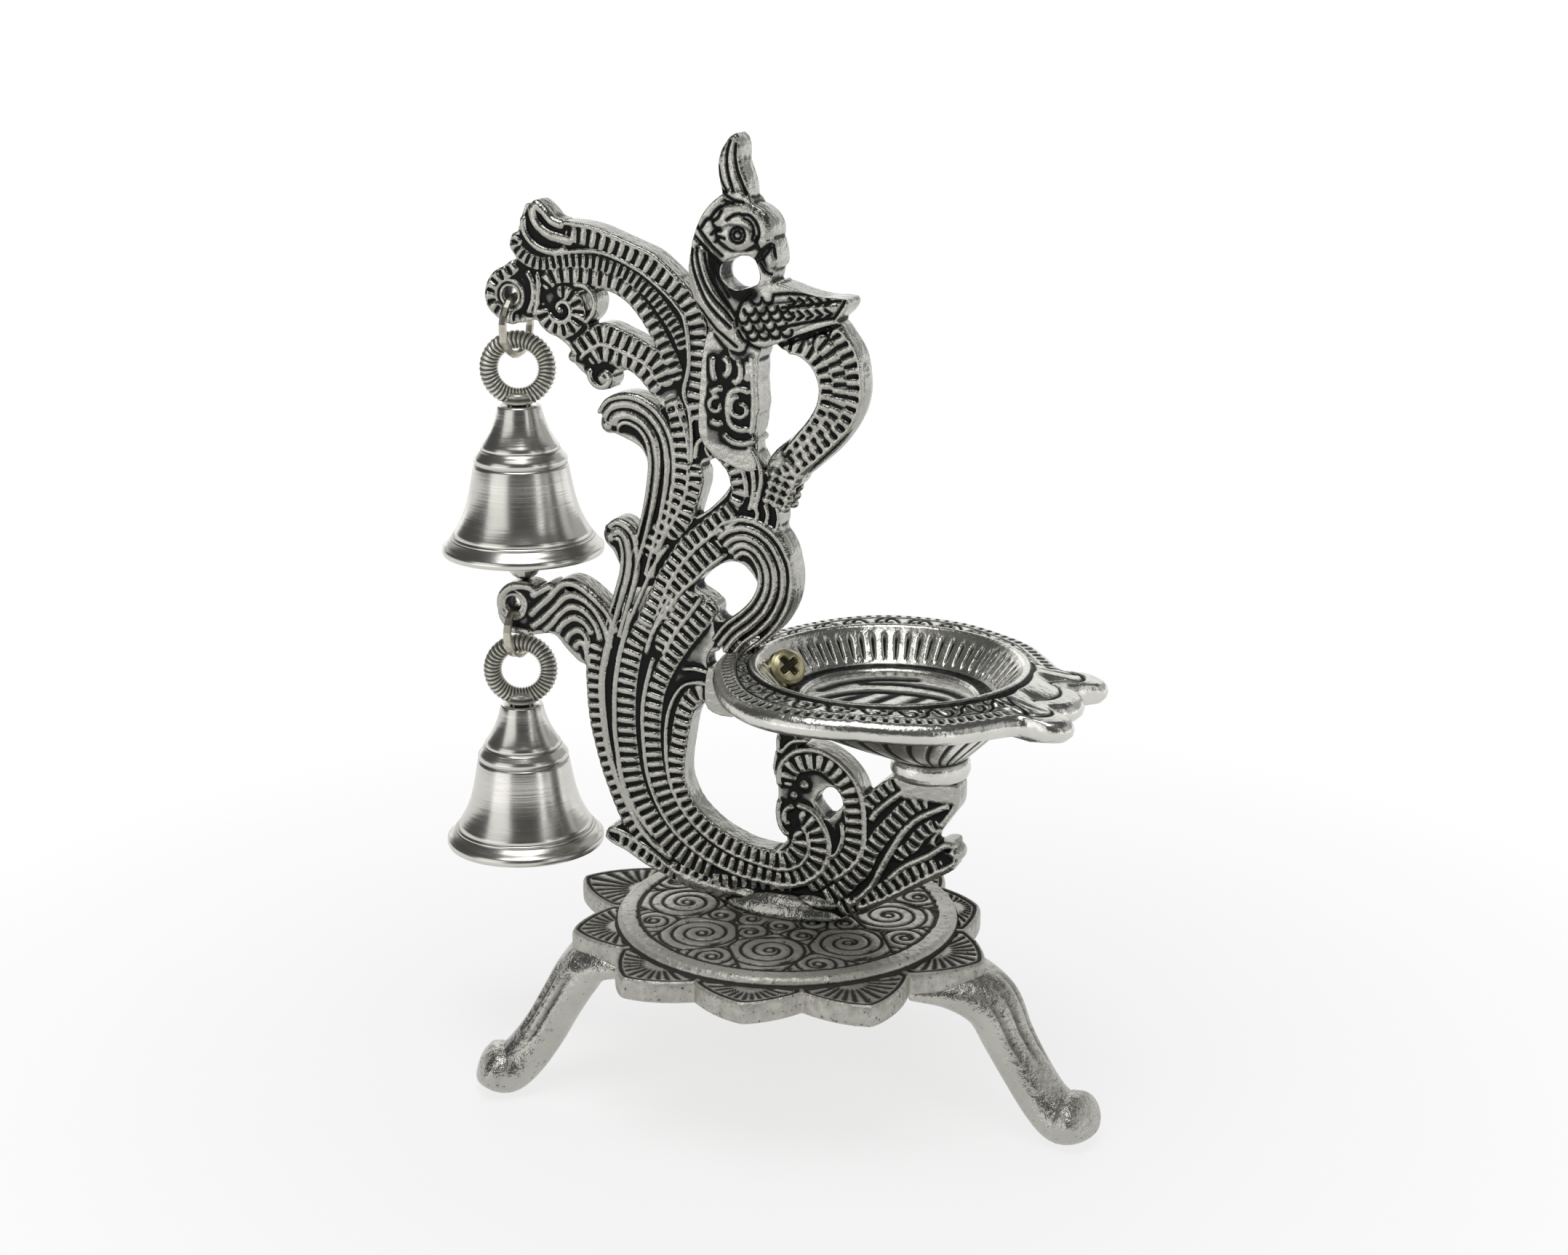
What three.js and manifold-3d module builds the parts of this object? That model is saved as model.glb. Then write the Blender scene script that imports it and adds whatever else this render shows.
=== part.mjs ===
// Standing oil lamp of oxidised white metal: a pierced peacock stem on a lotus base with three legs,
// a leaf-shaped oil bowl carried by the stem, and two bells hanging from its hooked arms.
// Millimetres, +Z up. The stem lies in the XZ plane and the bowl points to +X.
import * as THREE from "three";
import { mergeVertices } from "three/addons/utils/BufferGeometryUtils.js";
import Module from "manifold-3d";

const wasm = await Module();
wasm.setup();

// Clearance kept between pieces that touch
const GAP = 0.3;

// Lotus base
const PLATE_TOP = 35.4;
const PLATE_THICK = 4.6;
const MEDALLION_RADIUS = 35.6;
const MEDALLION_RISE = 1.8;
const MEDALLION_EDGE = 0.9;
const PETAL_NOTCH = 37.6;
const PETAL_FULLNESS = 0.74;
const PETALS = [[-96, 50], [-60.6, 45.2], [-25.5, 45.4], [9.8, 44.4], [43.5, 46.8],
  [81.5, 45.4], [118, 42.5], [154, 44.5], [190, 44.5], [226, 46.5]];
const DISC_INSET = 1;
const LEG_SIDES = 10;
const SOLE_DEPTH = 0.5;
// Leg centrelines in their radial planes: distance out, height, thickness, width across
const RIGHT_LEG = [[34, 30.4, 7, 22], [41, 30, 9, 18], [47, 27, 10.6, 13.6], [50.8, 20.4, 10, 11.2],
  [55, 13.8, 9.6, 10.5], [59.2, 8.2, 9.6, 10.6], [63, 5.4, 10, 12], [66, 6.2, 10, 13],
  [67.8, 7.6, 8.4, 11.4], [68.7, 8.2, 4.6, 6.6]];
const SHORT_LEG = [[34, 30.4, 7, 22], [40.4, 29.6, 8.4, 18], [44.4, 25.4, 9.6, 13.4], [48, 19.6, 9.4, 11.2],
  [51.6, 13.4, 9.4, 10.5], [55.6, 8, 9.6, 10.6], [59.2, 5.2, 10, 12], [62, 6, 9.8, 12.6],
  [63.8, 7.2, 8.2, 11], [64.7, 7.8, 4.6, 6.6]];
// Bearing and rows of each leg
const LEGS = [[-60.6, SHORT_LEG], [83.4, RIGHT_LEG], [191.4, SHORT_LEG]];

// Peacock stem
const WEB_DEPTH = 4.4;
const RIDGE_DEPTH = 6.4;
const NECK_DEPTH = 8.4;
const NECK_BEVEL = 1.2;
const WING_DEPTH = 8;
const LUG_DEPTH = 9;
const BOSS_LENGTH = 28;
const BOSS_DEPTH = 13;
const BOSS_HEIGHT = 4.2;
const BOSS_SIDES = 16;
const BOWL_SEAT = [25.5, 38, 6.4];
const SEAT_ROOT = 66.7;
const LUG = [[-15.5, 81.5], [-10.4, 79.2], [-3.4, 81.8], [-1.4, 86], [-7, 90], [-14.4, 91.5]];
const UPPER_HOLE = [-59.8, 163.2];
const LOWER_HOLE = [-61.4, 97.8];
const RING_HOLE_RADIUS = 1.6;
const RING_HOLE_LAND = 0.6;
const RING_HOLE_FLARE = 0.6;
// The outlines below were traced as they look from a point this far to the right, this high and this
// far in front of the stem, so walls that face it were traced along their far edge
const TRACED_FROM = [169.4, 232.1];
const TRACED_DISTANCE = 429;
const LOWER_WEB = [[13, 38.6], [21, 41.8], [30, 47.6], [38, 53.2], [38, 57.4], [34.6, 59.6],
    [36.6, 64], [37.6, 69], [30, 69.6], [23, 68.6], [19, 66], [17.4, 69.6], [11.6, 74], [5.6, 75.4],
    [4.4, 81.6], [-0.8, 81.6], [-1.4, 74.5], [-2.3, 69], [-1, 64.7], [-1.6, 58], [1, 53.4], [-5, 52.6],
    [-12, 53.8], [-18, 58], [-21.2, 65], [-20.4, 75], [-17.4, 81.2], [-12, 84], [-14.4, 93], [-12, 98],
    [-15, 105], [-24, 107], [-35, 104], [-36.6, 97], [-42.5, 95], [-44.6, 86], [-43.6, 77],
    [-40.6, 63.5], [-36.6, 53.6], [-40.6, 51], [-39.6, 48], [-33, 45.2], [-25, 41.8], [-17, 38.6]];
const MIDDLE_WEB = [[-36.4, 98], [-35.8, 106], [-37.4, 111], [-39.8, 114.2], [-38.6, 118],
    [-34.5, 118.4], [-31, 116.8], [-29.7, 122], [-29.3, 129], [-31, 133.6], [-36, 136], [-40, 137.6],
    [-37.8, 142.6], [-32.6, 143.7], [-27, 141.4], [-25, 146], [-18, 154], [-8, 156], [-1.8, 152],
    [-1.5, 144.5], [-3, 137.6], [-1.6, 133], [2.4, 130.6], [1.6, 124], [2.8, 117], [2.4, 107],
    [-0.8, 101], [-4.5, 97], [-11, 96.4], [-13.4, 93], [-25, 91]];
const UPPER_WEB = [[-54, 183], [-47, 179.2], [-38, 177.3], [-29, 173.9], [-22, 168.9], [-17, 160],
    [-15, 150], [-20, 142], [-26, 142.6], [-30, 147.8], [-34, 149.6], [-35.6, 146.4], [-39, 145.3],
    [-42.6, 147.6], [-45.6, 150.2], [-46.4, 153], [-50, 155.8], [-53.4, 158.4], [-58, 157.6],
    [-62.4, 159], [-64.4, 162.8], [-62.8, 166.6], [-58.6, 169.8], [-57.8, 173.6], [-57, 178]];
const HOOK_WEB = [[-64.6, 94.4], [-64.6, 98.6], [-62, 101.6], [-57, 102.2], [-52, 103.4],
    [-46.4, 103.8], [-40.6, 100.4], [-36, 95], [-36, 88.6], [-44.4, 86.4], [-48.6, 89], [-52, 92.2],
    [-57, 91.7], [-62, 91.9]];
const TAIL_WEB = [[1, 157.6, 4.2], [8.6, 156.6, 7.6], [12.6, 151.6, 9], [12.4, 146, 9], [9.4, 140.6, 8.6],
  [4.6, 135.8, 8.2], [0, 131.6, 8], [-1.4, 126.4, 5.6]];
const OPENINGS = {
  arm: [[-41.4, 164.8], [-36.6, 164.4], [-31, 160.6], [-26.8, 154.6], [-32, 156.2], [-38.6, 158.4],
    [-41, 161.4]],
  arch: [[-14.4, 132.8], [-11.3, 130.4], [-12, 126.4], [-17.4, 121.6], [-17.2, 126.4]],
  curl: [[-16.4, 107.6], [-12, 111.6], [-7.4, 110.2], [-5.5, 106.2], [-7.6, 101.8], [-11, 101.4],
    [-13.4, 105.2]],
  tail: [[-1.4, 153.8], [3.4, 154.6], [7.6, 150.4], [7.6, 145], [3.4, 138.8], [-1.2, 134], [-2.6, 140],
    [-1.3, 147]],
  eye: [[9, 65.8], [11.6, 65.9], [13.4, 63.2], [11.6, 61.8], [9.4, 63.9]],
};
// Feather bands along the stem: x, z and width at each point of the centreline
const FEATHERS = {
  armTop: [[-48, 176.4, 1.2], [-43, 175.8, 3], [-36, 174, 3], [-29, 171, 2.9], [-22, 166, 2.6],
    [-18, 160, 2.4], [-17.8, 153, 2.3], [-18.8, 145, 2.2], [-17.6, 139, 1.2]],
  armBead: [[-57, 177, 1.2], [-57.6, 173.4, 1.8], [-54, 170.4, 1.8], [-47, 170.8, 1.8],
    [-40, 170.7, 1.8], [-32, 168, 1.8], [-25, 161.5, 1.8], [-20.8, 154, 1.2]],
  armLower: [[-52, 164.6, 1], [-50.3, 167, 2.2], [-44, 168, 2.4], [-37, 167, 2.4], [-30.5, 162.5, 2.4],
    [-26, 156, 2.4], [-23.5, 150, 2.2], [-21.5, 145, 1.4]],
  spiral: [[-52.4, 165, 1.2], [-52.4, 159.6, 2.2], [-48.6, 156.4, 2.2], [-44.2, 158.2, 2.2],
    [-43.4, 162.6, 2.2], [-46.6, 164.4, 1.8], [-48.8, 161.6, 1.8]],
  branch: [[-46, 152, 1.4], [-43.6, 153.6, 3], [-38, 156.2, 3], [-31, 153.7, 3], [-26.5, 150.5, 2.8],
    [-24.3, 146, 2.2]],
  leafOuter: [[-39.4, 138, 1.2], [-37.4, 141, 2.4], [-33, 142.2, 2.6], [-28.6, 140.4, 2.4],
    [-25.8, 136, 2.2], [-25.9, 129, 2], [-27.4, 121, 1.8], [-29.8, 113, 1.2]],
  stemOuter: [[-24.8, 146.5, 1.4], [-23, 141.5, 2.8], [-21.8, 135, 2.9], [-22.3, 127.5, 2.9],
    [-25, 120, 2.9], [-28.5, 113, 2.6], [-31, 107, 1.6]],
  stemInner: [[-19, 132.4, 1.2], [-19, 127.5, 2.5], [-21.5, 120, 2.5], [-25.4, 115.3, 1.6]],
  spine: [[-10.2, 124, 1.2], [-12.8, 121.3, 2.8], [-19, 116.2, 2.8], [-24, 110, 2.9], [-28, 102.5, 3],
    [-32, 94, 3.2], [-35, 84, 3.3], [-35.2, 72, 3.5], [-32.8, 59.5, 3.7], [-25, 48.5, 3.8],
    [-15, 43.6, 3], [-8, 41.8, 2]],
  spineInner: [[-13.5, 116, 1.2], [-17, 112.5, 2.8], [-22, 107, 2.8], [-25.6, 101, 2], [-27.4, 97, 1.2]],
  arch: [[-17.4, 133.9, 1.2], [-14.5, 134.8, 2], [-10.4, 131.4, 2.2], [-9.4, 127, 2.2],
    [-11.2, 122.8, 1.2]],
  archOuter: [[-12.5, 139, 1], [-8.5, 135, 1.4], [-6.2, 129.5, 1.4], [-6.9, 123, 1]],
  leafTip: [[-38.8, 115.4, 1.2], [-35.4, 115.8, 2.6], [-33.4, 111, 2.4], [-34.2, 104, 2],
    [-36, 97, 1.6], [-38.4, 91, 1.2]],
  innerLimb: [[-14.5, 103.5, 1.2], [-18.5, 98.5, 2.9], [-24.5, 91, 2.9], [-28.5, 81.5, 2.9],
    [-29.3, 70, 2.9], [-26, 58.3, 2.9], [-18.5, 49.5, 2.9], [-9, 45.8, 2.9], [1, 45, 2.8],
    [6.8, 48.5, 2.6], [8, 54, 2.4], [5.5, 58.8, 1.8], [3, 59.4, 1.2]],
  outerLimb: [[-43, 89, 1.6], [-42.8, 79, 2.4], [-41, 68.5, 2.2], [-37.8, 58.5, 2], [-33.5, 50.5, 1.4]],
  limbRidge: [[-39.5, 93, 1.2], [-41, 81, 1.6], [-40, 70, 1.6], [-36.6, 59, 1.6], [-31, 49.8, 1.2]],
  throat: [[-15, 83.8, 1.6], [-19, 83, 2.7], [-22.5, 77, 2.7], [-24, 67, 2.7], [-22.3, 59.3, 2.7],
    [-16, 53, 2.7], [-7, 49.4, 2.6], [0.5, 49.2, 2.4], [3.8, 53, 2], [2.6, 56, 1.2]],
  heel: [[-39.8, 49.8, 1.2], [-36, 48.2, 2.6], [-30, 45, 2.6], [-23, 41.4, 2]],
  lowerCurl: [[2.7, 62, 1.2], [7.5, 60.3, 1.8], [10.2, 55, 1.8], [9.5, 48.6, 1.8], [4.5, 44.3, 1.6],
    [-4, 42.8, 1.4], [-12, 41.6, 1]],
  upperCurl: [[1, 64.8, 1.4], [2, 69.3, 2.8], [7, 71.5, 2.8], [12.5, 69, 2.8], [15.6, 62, 2.8],
    [15.5, 54.5, 2.8], [12, 49, 2.6], [6, 44.2, 2.2]],
  curlEdge: [[-0.8, 65.2, 1], [-0.3, 69.7, 1.5], [5.5, 74, 1.5], [12.5, 71.9, 1.5], [17.3, 65, 1.5],
    [17.8, 56, 1.5], [14.5, 48.8, 1.4], [8, 43, 1.2]],
  sprig: [[17.8, 61.5, 1], [20, 65.4, 1.8], [24, 68.4, 1.8], [27.5, 69.4, 1]],
  plume: [[34, 66.4, 1.2], [28.5, 65.3, 2.6], [22.5, 58.7, 2.6], [18.3, 51.2, 2.6], [14.5, 46, 2.4],
    [8, 41.4, 1.6]],
  plumeRidge: [[15.5, 41.6, 1], [21, 49, 1.5], [25.5, 57.6, 1.5], [30.5, 63, 1.5], [36, 65.4, 1]],
  lowerPlume: [[37.4, 55.8, 1.2], [33.5, 52.9, 2.6], [27, 49.4, 2.6], [20, 43.9, 2.6], [13, 40.4, 1.6]],
  tailInner: [[2, 157, 1], [7, 154.8, 2.4], [9.2, 149.5, 2.6], [7.8, 143, 2.6], [4.5, 138.3, 2.2],
    [1.4, 135, 1.2]],
  tailMiddle: [[6, 158.4, 1], [10.3, 154.8, 2.4], [12, 148.5, 2.6], [10, 142, 2.6], [5.5, 137, 2.4],
    [-0.5, 130, 1.4]],
  tailOuter: [[9.5, 160.3, 1.2], [13.6, 155.5, 2.4], [15, 149.5, 2.6], [13.8, 143.5, 2.4],
    [9.5, 138, 2.2], [4.5, 133.5, 2], [0.5, 127, 1.4]],
  hookTop: [[-61, 99.9, 1], [-56, 100.4, 1.8], [-50, 102, 1.8], [-43, 99.3, 1.8], [-38.5, 95, 1.6],
    [-37, 88, 1.2]],
  hookLower: [[-56, 96.5, 1.2], [-51, 98.6, 1.8], [-46, 96.8, 1.8], [-42.5, 92, 1.6],
    [-41.4, 87.6, 1.2]],
};
// Three even ridges run side by side round the big curl
const CURL_RIBBON = [[-13, 116.6], [-8, 117], [-3.8, 114.6], [-1.8, 109.6], [-2.4, 104.4],
    [-5.4, 100.4], [-10, 98], [-14.4, 95.4]];
const CURL_RIDGE_OFFSETS = [-2.7, 0, 2.7];
const CURL_RIDGE_WIDTH = 2.5;
const HEAD = [[-14.6, 184.6], [-9, 186.6], [-4, 185.6], [-1.2, 181.4], [0.2, 176.8], [-0.6, 173.4],
    [-3.6, 173.2], [-7.4, 173.8], [-10.2, 172.2], [-10.4, 168], [-8, 161], [-3, 155.6], [-1.8, 151.4],
    [-15.6, 150], [-15.4, 157], [-18.8, 164], [-19.9, 170], [-18.6, 177]];
const CREST = [[-10, 184, 8.6], [-10.9, 189, 7.2], [-11.3, 193, 4.8], [-10.8, 197, 1.4]];
const BEAK = [[-3.4, 174.6, 4], [-1.8, 172, 3], [-1.3, 169.2, 1.6]];
const WING = [[1.5, 169.3], [9, 167.6], [15, 167.4], [15.8, 166.2], [14, 163], [7.8, 159.3],
    [0, 156.2], [-6, 155.4], [-10, 158.6], [-10.2, 163.6], [-8.6, 167], [-3.4, 167.6]];
const QUILLS = [[[-6, 165.6, 3], [2, 167, 3.4], [9, 166, 3], [15, 166.4, 1.2]],
  [[-7, 162.4, 3], [1, 163.4, 3.6], [8, 162.8, 3], [13.6, 164, 1.2]],
  [[-7, 158.6, 2.6], [0, 159.4, 3.4], [6.6, 160, 2.6], [10.6, 161.6, 1.2]]];

// Oil bowl. The half outline runs from the spout tip round to the end beside the stem.
const WELL_X = 22;
const WELL_RADIUS = 27;
const WELL_DEPTH = 7.2;
const FLOOR_RADIUS = 20.8;
const FLOOR_RING_OUTER = 19.4;
const FLOOR_RING_INNER = 17.4;
const FLOOR_RING_RISE = 0.4;
const BOWL_TOP = 93.8;
const LIP_HEIGHT = 3.9;
const EDGE_FALL = 1;
const SPOUT_FALL = 0.068;
const SPOUT_FALL_START = 28;
const CONE_TOP_DROP = 7;
const CONE_TOP_RADIUS = 27.4;
const FOOT_X = 31;
const FOOT_RADIUS = 8;
const FOOT_HEIGHT = 4.4;
const FOOT_BOTTOM = 71;
const BOWL_OUTLINE = [[62, 0], [61, 4], [58.2, 7], [60.2, 9.4], [63.3, 11.6], [62.9, 15.2],
    [59.4, 17.2], [54.4, 16.6], [48.8, 23.4], [43.8, 29.2], [37.4, 33], [30, 35.8], [21.6, 37.6],
    [13, 37.4], [5.4, 34.8], [-1.2, 29.6], [-6.6, 22], [-10.8, 13.4], [-13, 6], [-13.5, 0]];

// Screws: an M4 pan head into the stem through the bowl wall, and another from under the base
const SCREW_RADIUS = 2;
const HEAD_RADIUS = 4;
const HEAD_HEIGHT = 2.4;
const BOWL_SCREW_LENGTH = 12;
const BOWL_SCREW_SHARE = 0.47;
const BASE_SCREW_REACH = 7.4;
const WASHER_RADIUS = 6;
const WASHER_THICK = 1;

// Bells, with heights above the rim plane
const BELL_PROFILE = [[0, 16.4], [0.5, 17], [1.6, 16.9], [5.8, 13.7], [9, 11.9], [12.6, 10.6],
  [19.2, 9.6], [20.1, 9], [23.1, 8], [27.8, 5.2], [30.6, 4.5], [31.3, 4]];
const BELL_WALL = 1.5;
const CROWN_THICK = 1.5;
const LOOP_HEIGHT = 38.9;
const LOOP_TUBE = 3.95;
const LOOP_HOLE = 8;
const COLLAR_RADIUS = 2.9;
const COLLAR_OVERLAP = 0.9;
const SHANK_RADIUS = 1.5;
const NUT_ACROSS = 5.5;
const NUT_HEIGHT = 2.4;
const SHANK_BELOW_NUT = 4;
const CLAPPER_HOLE_RADIUS = 1;
const CLAPPER_WIRE = 0.8;
const CLAPPER_EYE = 5.4;
const CLAPPER_BALL_RADIUS = 4;
const CLAPPER_DROP = 6;
const JUMP_RING = 12;
const JUMP_WIRE = 1.6;
const SPLIT_RING = 11;
const SPLIT_WIRE = 0.9;

const POLISHED = { color: 0xc9c8c0, roughness: 0.3, metalness: 1 };
const OXIDISED = { color: 0x8f8f88, roughness: 0.42, metalness: 1 };
const CAST = { color: 0xa3a39d, roughness: 0.5, metalness: 1 };
const LOOP_METAL = { color: 0x8c8a7e, roughness: 0.45, metalness: 1 };
const RING_METAL = { color: 0x9c9a86, roughness: 0.3, metalness: 1 };
const ZINC = { color: 0x9c9564, roughness: 0.35, metalness: 1 };
const STEEL = { color: 0x77777a, roughness: 0.4, metalness: 1 };

// How far a band or an outline may turn, and how far a band may widen, between two stations
const BEND = 0.5;
const EDGE_BEND = 0.34;
const BOWL_BEND = 0.26;
const LEG_BEND = 0.18;
const SWELL = 1.6;

// Larger than any piece, for cuts that run right through
const BEYOND = 100;

const radians = THREE.MathUtils.degToRad;

function solidOf(geometry) {
  const bare = geometry.clone();
  bare.deleteAttribute("normal");
  bare.deleteAttribute("uv");
  const merged = mergeVertices(bare, 1e-4);
  const vertProperties = new Float32Array(merged.attributes.position.array);
  const triVerts = new Uint32Array(merged.index.array);
  const solid = new wasm.Manifold(new wasm.Mesh({ numProp: 3, vertProperties, triVerts }));
  return solid.volume() < 0 ? new wasm.Manifold(new wasm.Mesh({
    numProp: 3, vertProperties, triVerts: triVerts.reverse() })) : solid;
}

function geometryOf(solid) {
  const mesh = solid.getMesh();
  const geometry = new THREE.BufferGeometry();
  geometry.setAttribute("position", new THREE.BufferAttribute(new Float32Array(mesh.vertProperties), 3));
  geometry.setIndex(new THREE.BufferAttribute(new Uint32Array(mesh.triVerts), 1));
  geometry.computeVertexNormals();
  return geometry;
}

function union(solids) {
  return solids.reduce((whole, next) => whole.add(next));
}

// Catmull-Rom values through rows of any length
function smooth(rows, steps, closed = false) {
  const count = rows.length;
  const row = (i) => (closed ? rows[(i + count) % count] : rows[Math.min(Math.max(i, 0), count - 1)]);
  const spans = closed ? count : count - 1;
  const result = [];
  for (let span = 0; span < spans; span += 1) {
    for (let step = 0; step < steps; step += 1) {
      const t = step / steps;
      result.push(row(span).map((b, k) => {
        const a = row(span - 1)[k];
        const c = row(span + 1)[k];
        const d = row(span + 2)[k];
        return b + 0.5 * t * (c - a + t * (2 * a - 5 * b + 4 * c - d + t * (3 * (b - c) + d - a)));
      }));
    }
  }
  if (!closed) {
    result.push([...rows[count - 1]]);
  }
  return result;
}

// The stations of a smooth line that it takes to turn no more than a bend at a time
function stationsOf(rows, bend, closed = false) {
  const fine = smooth(rows, 4, closed);
  const heading = (from, to) => Math.atan2(to[1] - from[1], to[0] - from[0]);
  const kept = [fine[0]];
  let last = heading(fine[0], fine[1]);
  for (let i = 1; i + 1 < fine.length; i += 1) {
    const here = heading(fine[i], fine[i + 1]);
    const turn = Math.abs(Math.atan2(Math.sin(here - last), Math.cos(here - last)));
    const swell = fine[i].length > 2 ? Math.abs(fine[i][2] - kept.at(-1)[2]) : 0;
    if (turn > bend || swell > SWELL) {
      kept.push(fine[i]);
      last = here;
    }
  }
  return closed ? kept : [...kept, fine.at(-1)];
}

// Skin over rings that all have the same number of points, with a fan over each end
function loft(rings) {
  const size = rings[0].length;
  const centre = (ring) => ring.reduce((sum, p) => sum.add(p), new THREE.Vector3()).divideScalar(size);
  const points = [...rings.flat(), centre(rings[0]), centre(rings.at(-1))];
  const first = points.length - 2;
  const last = points.length - 1;
  const faces = [];
  for (let k = 0; k < size; k += 1) {
    const next = (k + 1) % size;
    for (let r = 0; r + 1 < rings.length; r += 1) {
      const here = r * size;
      const there = here + size;
      faces.push(here + k, here + next, there + next, here + k, there + next, there + k);
    }
    const end = (rings.length - 1) * size;
    faces.push(first, next, k, last, end + k, end + next);
  }
  const geometry = new THREE.BufferGeometry().setFromPoints(points);
  geometry.setIndex(faces);
  return solidOf(geometry);
}

// Crowned band in the XZ plane from rows of x, z and width
function band(rows, depth) {
  const stations = stationsOf(rows, BEND);
  const section = [[0.5, 0.24], [0, 0.5], [-0.5, 0.24], [-0.5, -0.24], [0, -0.5], [0.5, -0.24]];
  const rings = stations.map(([x, z, width], i) => {
    const before = stations[Math.max(i - 1, 0)];
    const after = stations[Math.min(i + 1, stations.length - 1)];
    const along = new THREE.Vector2(after[0] - before[0], after[1] - before[1]).normalize();
    return section.map(([side, out]) => new THREE.Vector3(
      x - along.y * side * width, out * depth, z + along.x * side * width));
  });
  return loft(rings);
}

// Rows moved sideways by a distance, for ridges that run beside one another
function beside(rows, distance, width) {
  return rows.map(([x, z], i) => {
    const before = rows[Math.max(i - 1, 0)];
    const after = rows[Math.min(i + 1, rows.length - 1)];
    const along = new THREE.Vector2(after[0] - before[0], after[1] - before[1]).normalize();
    const end = i === 0 || i === rows.length - 1;
    return [x - along.y * distance, z + along.x * distance, end ? width * 0.5 : width];
  });
}

// Plate in the XZ plane, centred on Y, with softened edges when a bevel is given
function plate(outline, depth, bevel = 0, round = true) {
  const line = round ? stationsOf(outline, EDGE_BEND, true) : outline;
  const shape = new THREE.Shape(line.map(([x, z]) => new THREE.Vector2(x, z)));
  const geometry = new THREE.ExtrudeGeometry(shape, {
    depth: depth - 2 * bevel, steps: 1, bevelEnabled: bevel > 0, bevelThickness: bevel, bevelSize: bevel,
    bevelOffset: -bevel, bevelSegments: 1 });
  geometry.rotateX(Math.PI / 2);
  geometry.translate(0, depth / 2 - bevel, 0);
  return solidOf(geometry);
}

function box(low, high) {
  const size = high.map((value, i) => value - low[i]);
  const geometry = new THREE.BoxGeometry(...size);
  geometry.translate(...high.map((value, i) => (value + low[i]) / 2));
  return solidOf(geometry);
}

// Cylinder from one point to another, or a cone when the end has a radius of its own
function rod(start, end, radius, sides = 16, endRadius = radius) {
  const from = new THREE.Vector3(...start);
  const to = new THREE.Vector3(...end);
  const geometry = new THREE.CylinderGeometry(endRadius, radius, from.distanceTo(to), sides);
  geometry.applyQuaternion(new THREE.Quaternion().setFromUnitVectors(
    new THREE.Vector3(0, 1, 0), to.clone().sub(from).normalize()));
  geometry.translate(...from.add(to).divideScalar(2).toArray());
  return solidOf(geometry);
}

// Revolve about a vertical axis from rows of height and radius
function revolve(rows, sides) {
  const geometry = new THREE.LatheGeometry(rows.map(([z, r]) => new THREE.Vector2(r, z)), sides);
  geometry.rotateX(Math.PI / 2);
  return solidOf(geometry);
}

function ring(meanDiameter, wire, axis, sides = 22, wireSides = 6) {
  const geometry = new THREE.TorusGeometry(meanDiameter / 2, wire / 2, wireSides, sides);
  if (axis === "x") {
    geometry.rotateY(Math.PI / 2);
  }
  if (axis === "y") {
    geometry.rotateX(Math.PI / 2);
  }
  return solidOf(geometry);
}

const medallionTop = PLATE_TOP + MEDALLION_RISE;
const plateBottom = PLATE_TOP - PLATE_THICK;
const stemBottom = medallionTop + GAP;

// Petal plate, medallion and three legs, cast in one
function makeBase() {
  const bearing = (degrees, radius) => [
    Math.sin(radians(degrees)) * radius, -Math.cos(radians(degrees)) * radius];
  const shape = new THREE.Shape();
  PETALS.forEach(([angle, reach], i) => {
    const [nextAngle] = PETALS[(i + 1) % PETALS.length];
    const turn = nextAngle > angle ? nextAngle : nextAngle + 360;
    const previous = PETALS[(i + PETALS.length - 1) % PETALS.length][0];
    const back = previous < angle ? previous : previous - 360;
    const start = bearing((back + angle) / 2, PETAL_NOTCH);
    const end = bearing((angle + turn) / 2, PETAL_NOTCH);
    if (i === 0) {
      shape.moveTo(...start);
    }
    const shoulder = PETAL_NOTCH + (reach - PETAL_NOTCH) * PETAL_FULLNESS;
    shape.quadraticCurveTo(...bearing(angle * 0.75 + back * 0.25, shoulder), ...bearing(angle, reach));
    shape.quadraticCurveTo(...bearing(angle * 0.75 + turn * 0.25, shoulder), ...end);
  });
  const petals = new THREE.ExtrudeGeometry(shape,
    { depth: PLATE_THICK, bevelEnabled: false, curveSegments: 3 });
  petals.translate(0, 0, plateBottom);
  const discBottom = plateBottom + DISC_INSET;
  const disc = revolve([[discBottom, 0], [discBottom, MEDALLION_RADIUS],
    [medallionTop - MEDALLION_EDGE, MEDALLION_RADIUS], [medallionTop, MEDALLION_RADIUS - MEDALLION_EDGE],
    [medallionTop, 0]], 44);
  const floorCut = box([-BEYOND, -BEYOND, -BEYOND], [BEYOND, BEYOND, 0]);
  const screwHole = rod([0, 0, plateBottom - 1], [0, 0, medallionTop + 1], SCREW_RADIUS + GAP);
  const legs = LEGS.map(([angle, rows]) => makeLeg(angle, rows));
  return union([solidOf(petals), disc, ...legs]).subtract(floorCut).subtract(screwHole);
}

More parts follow.
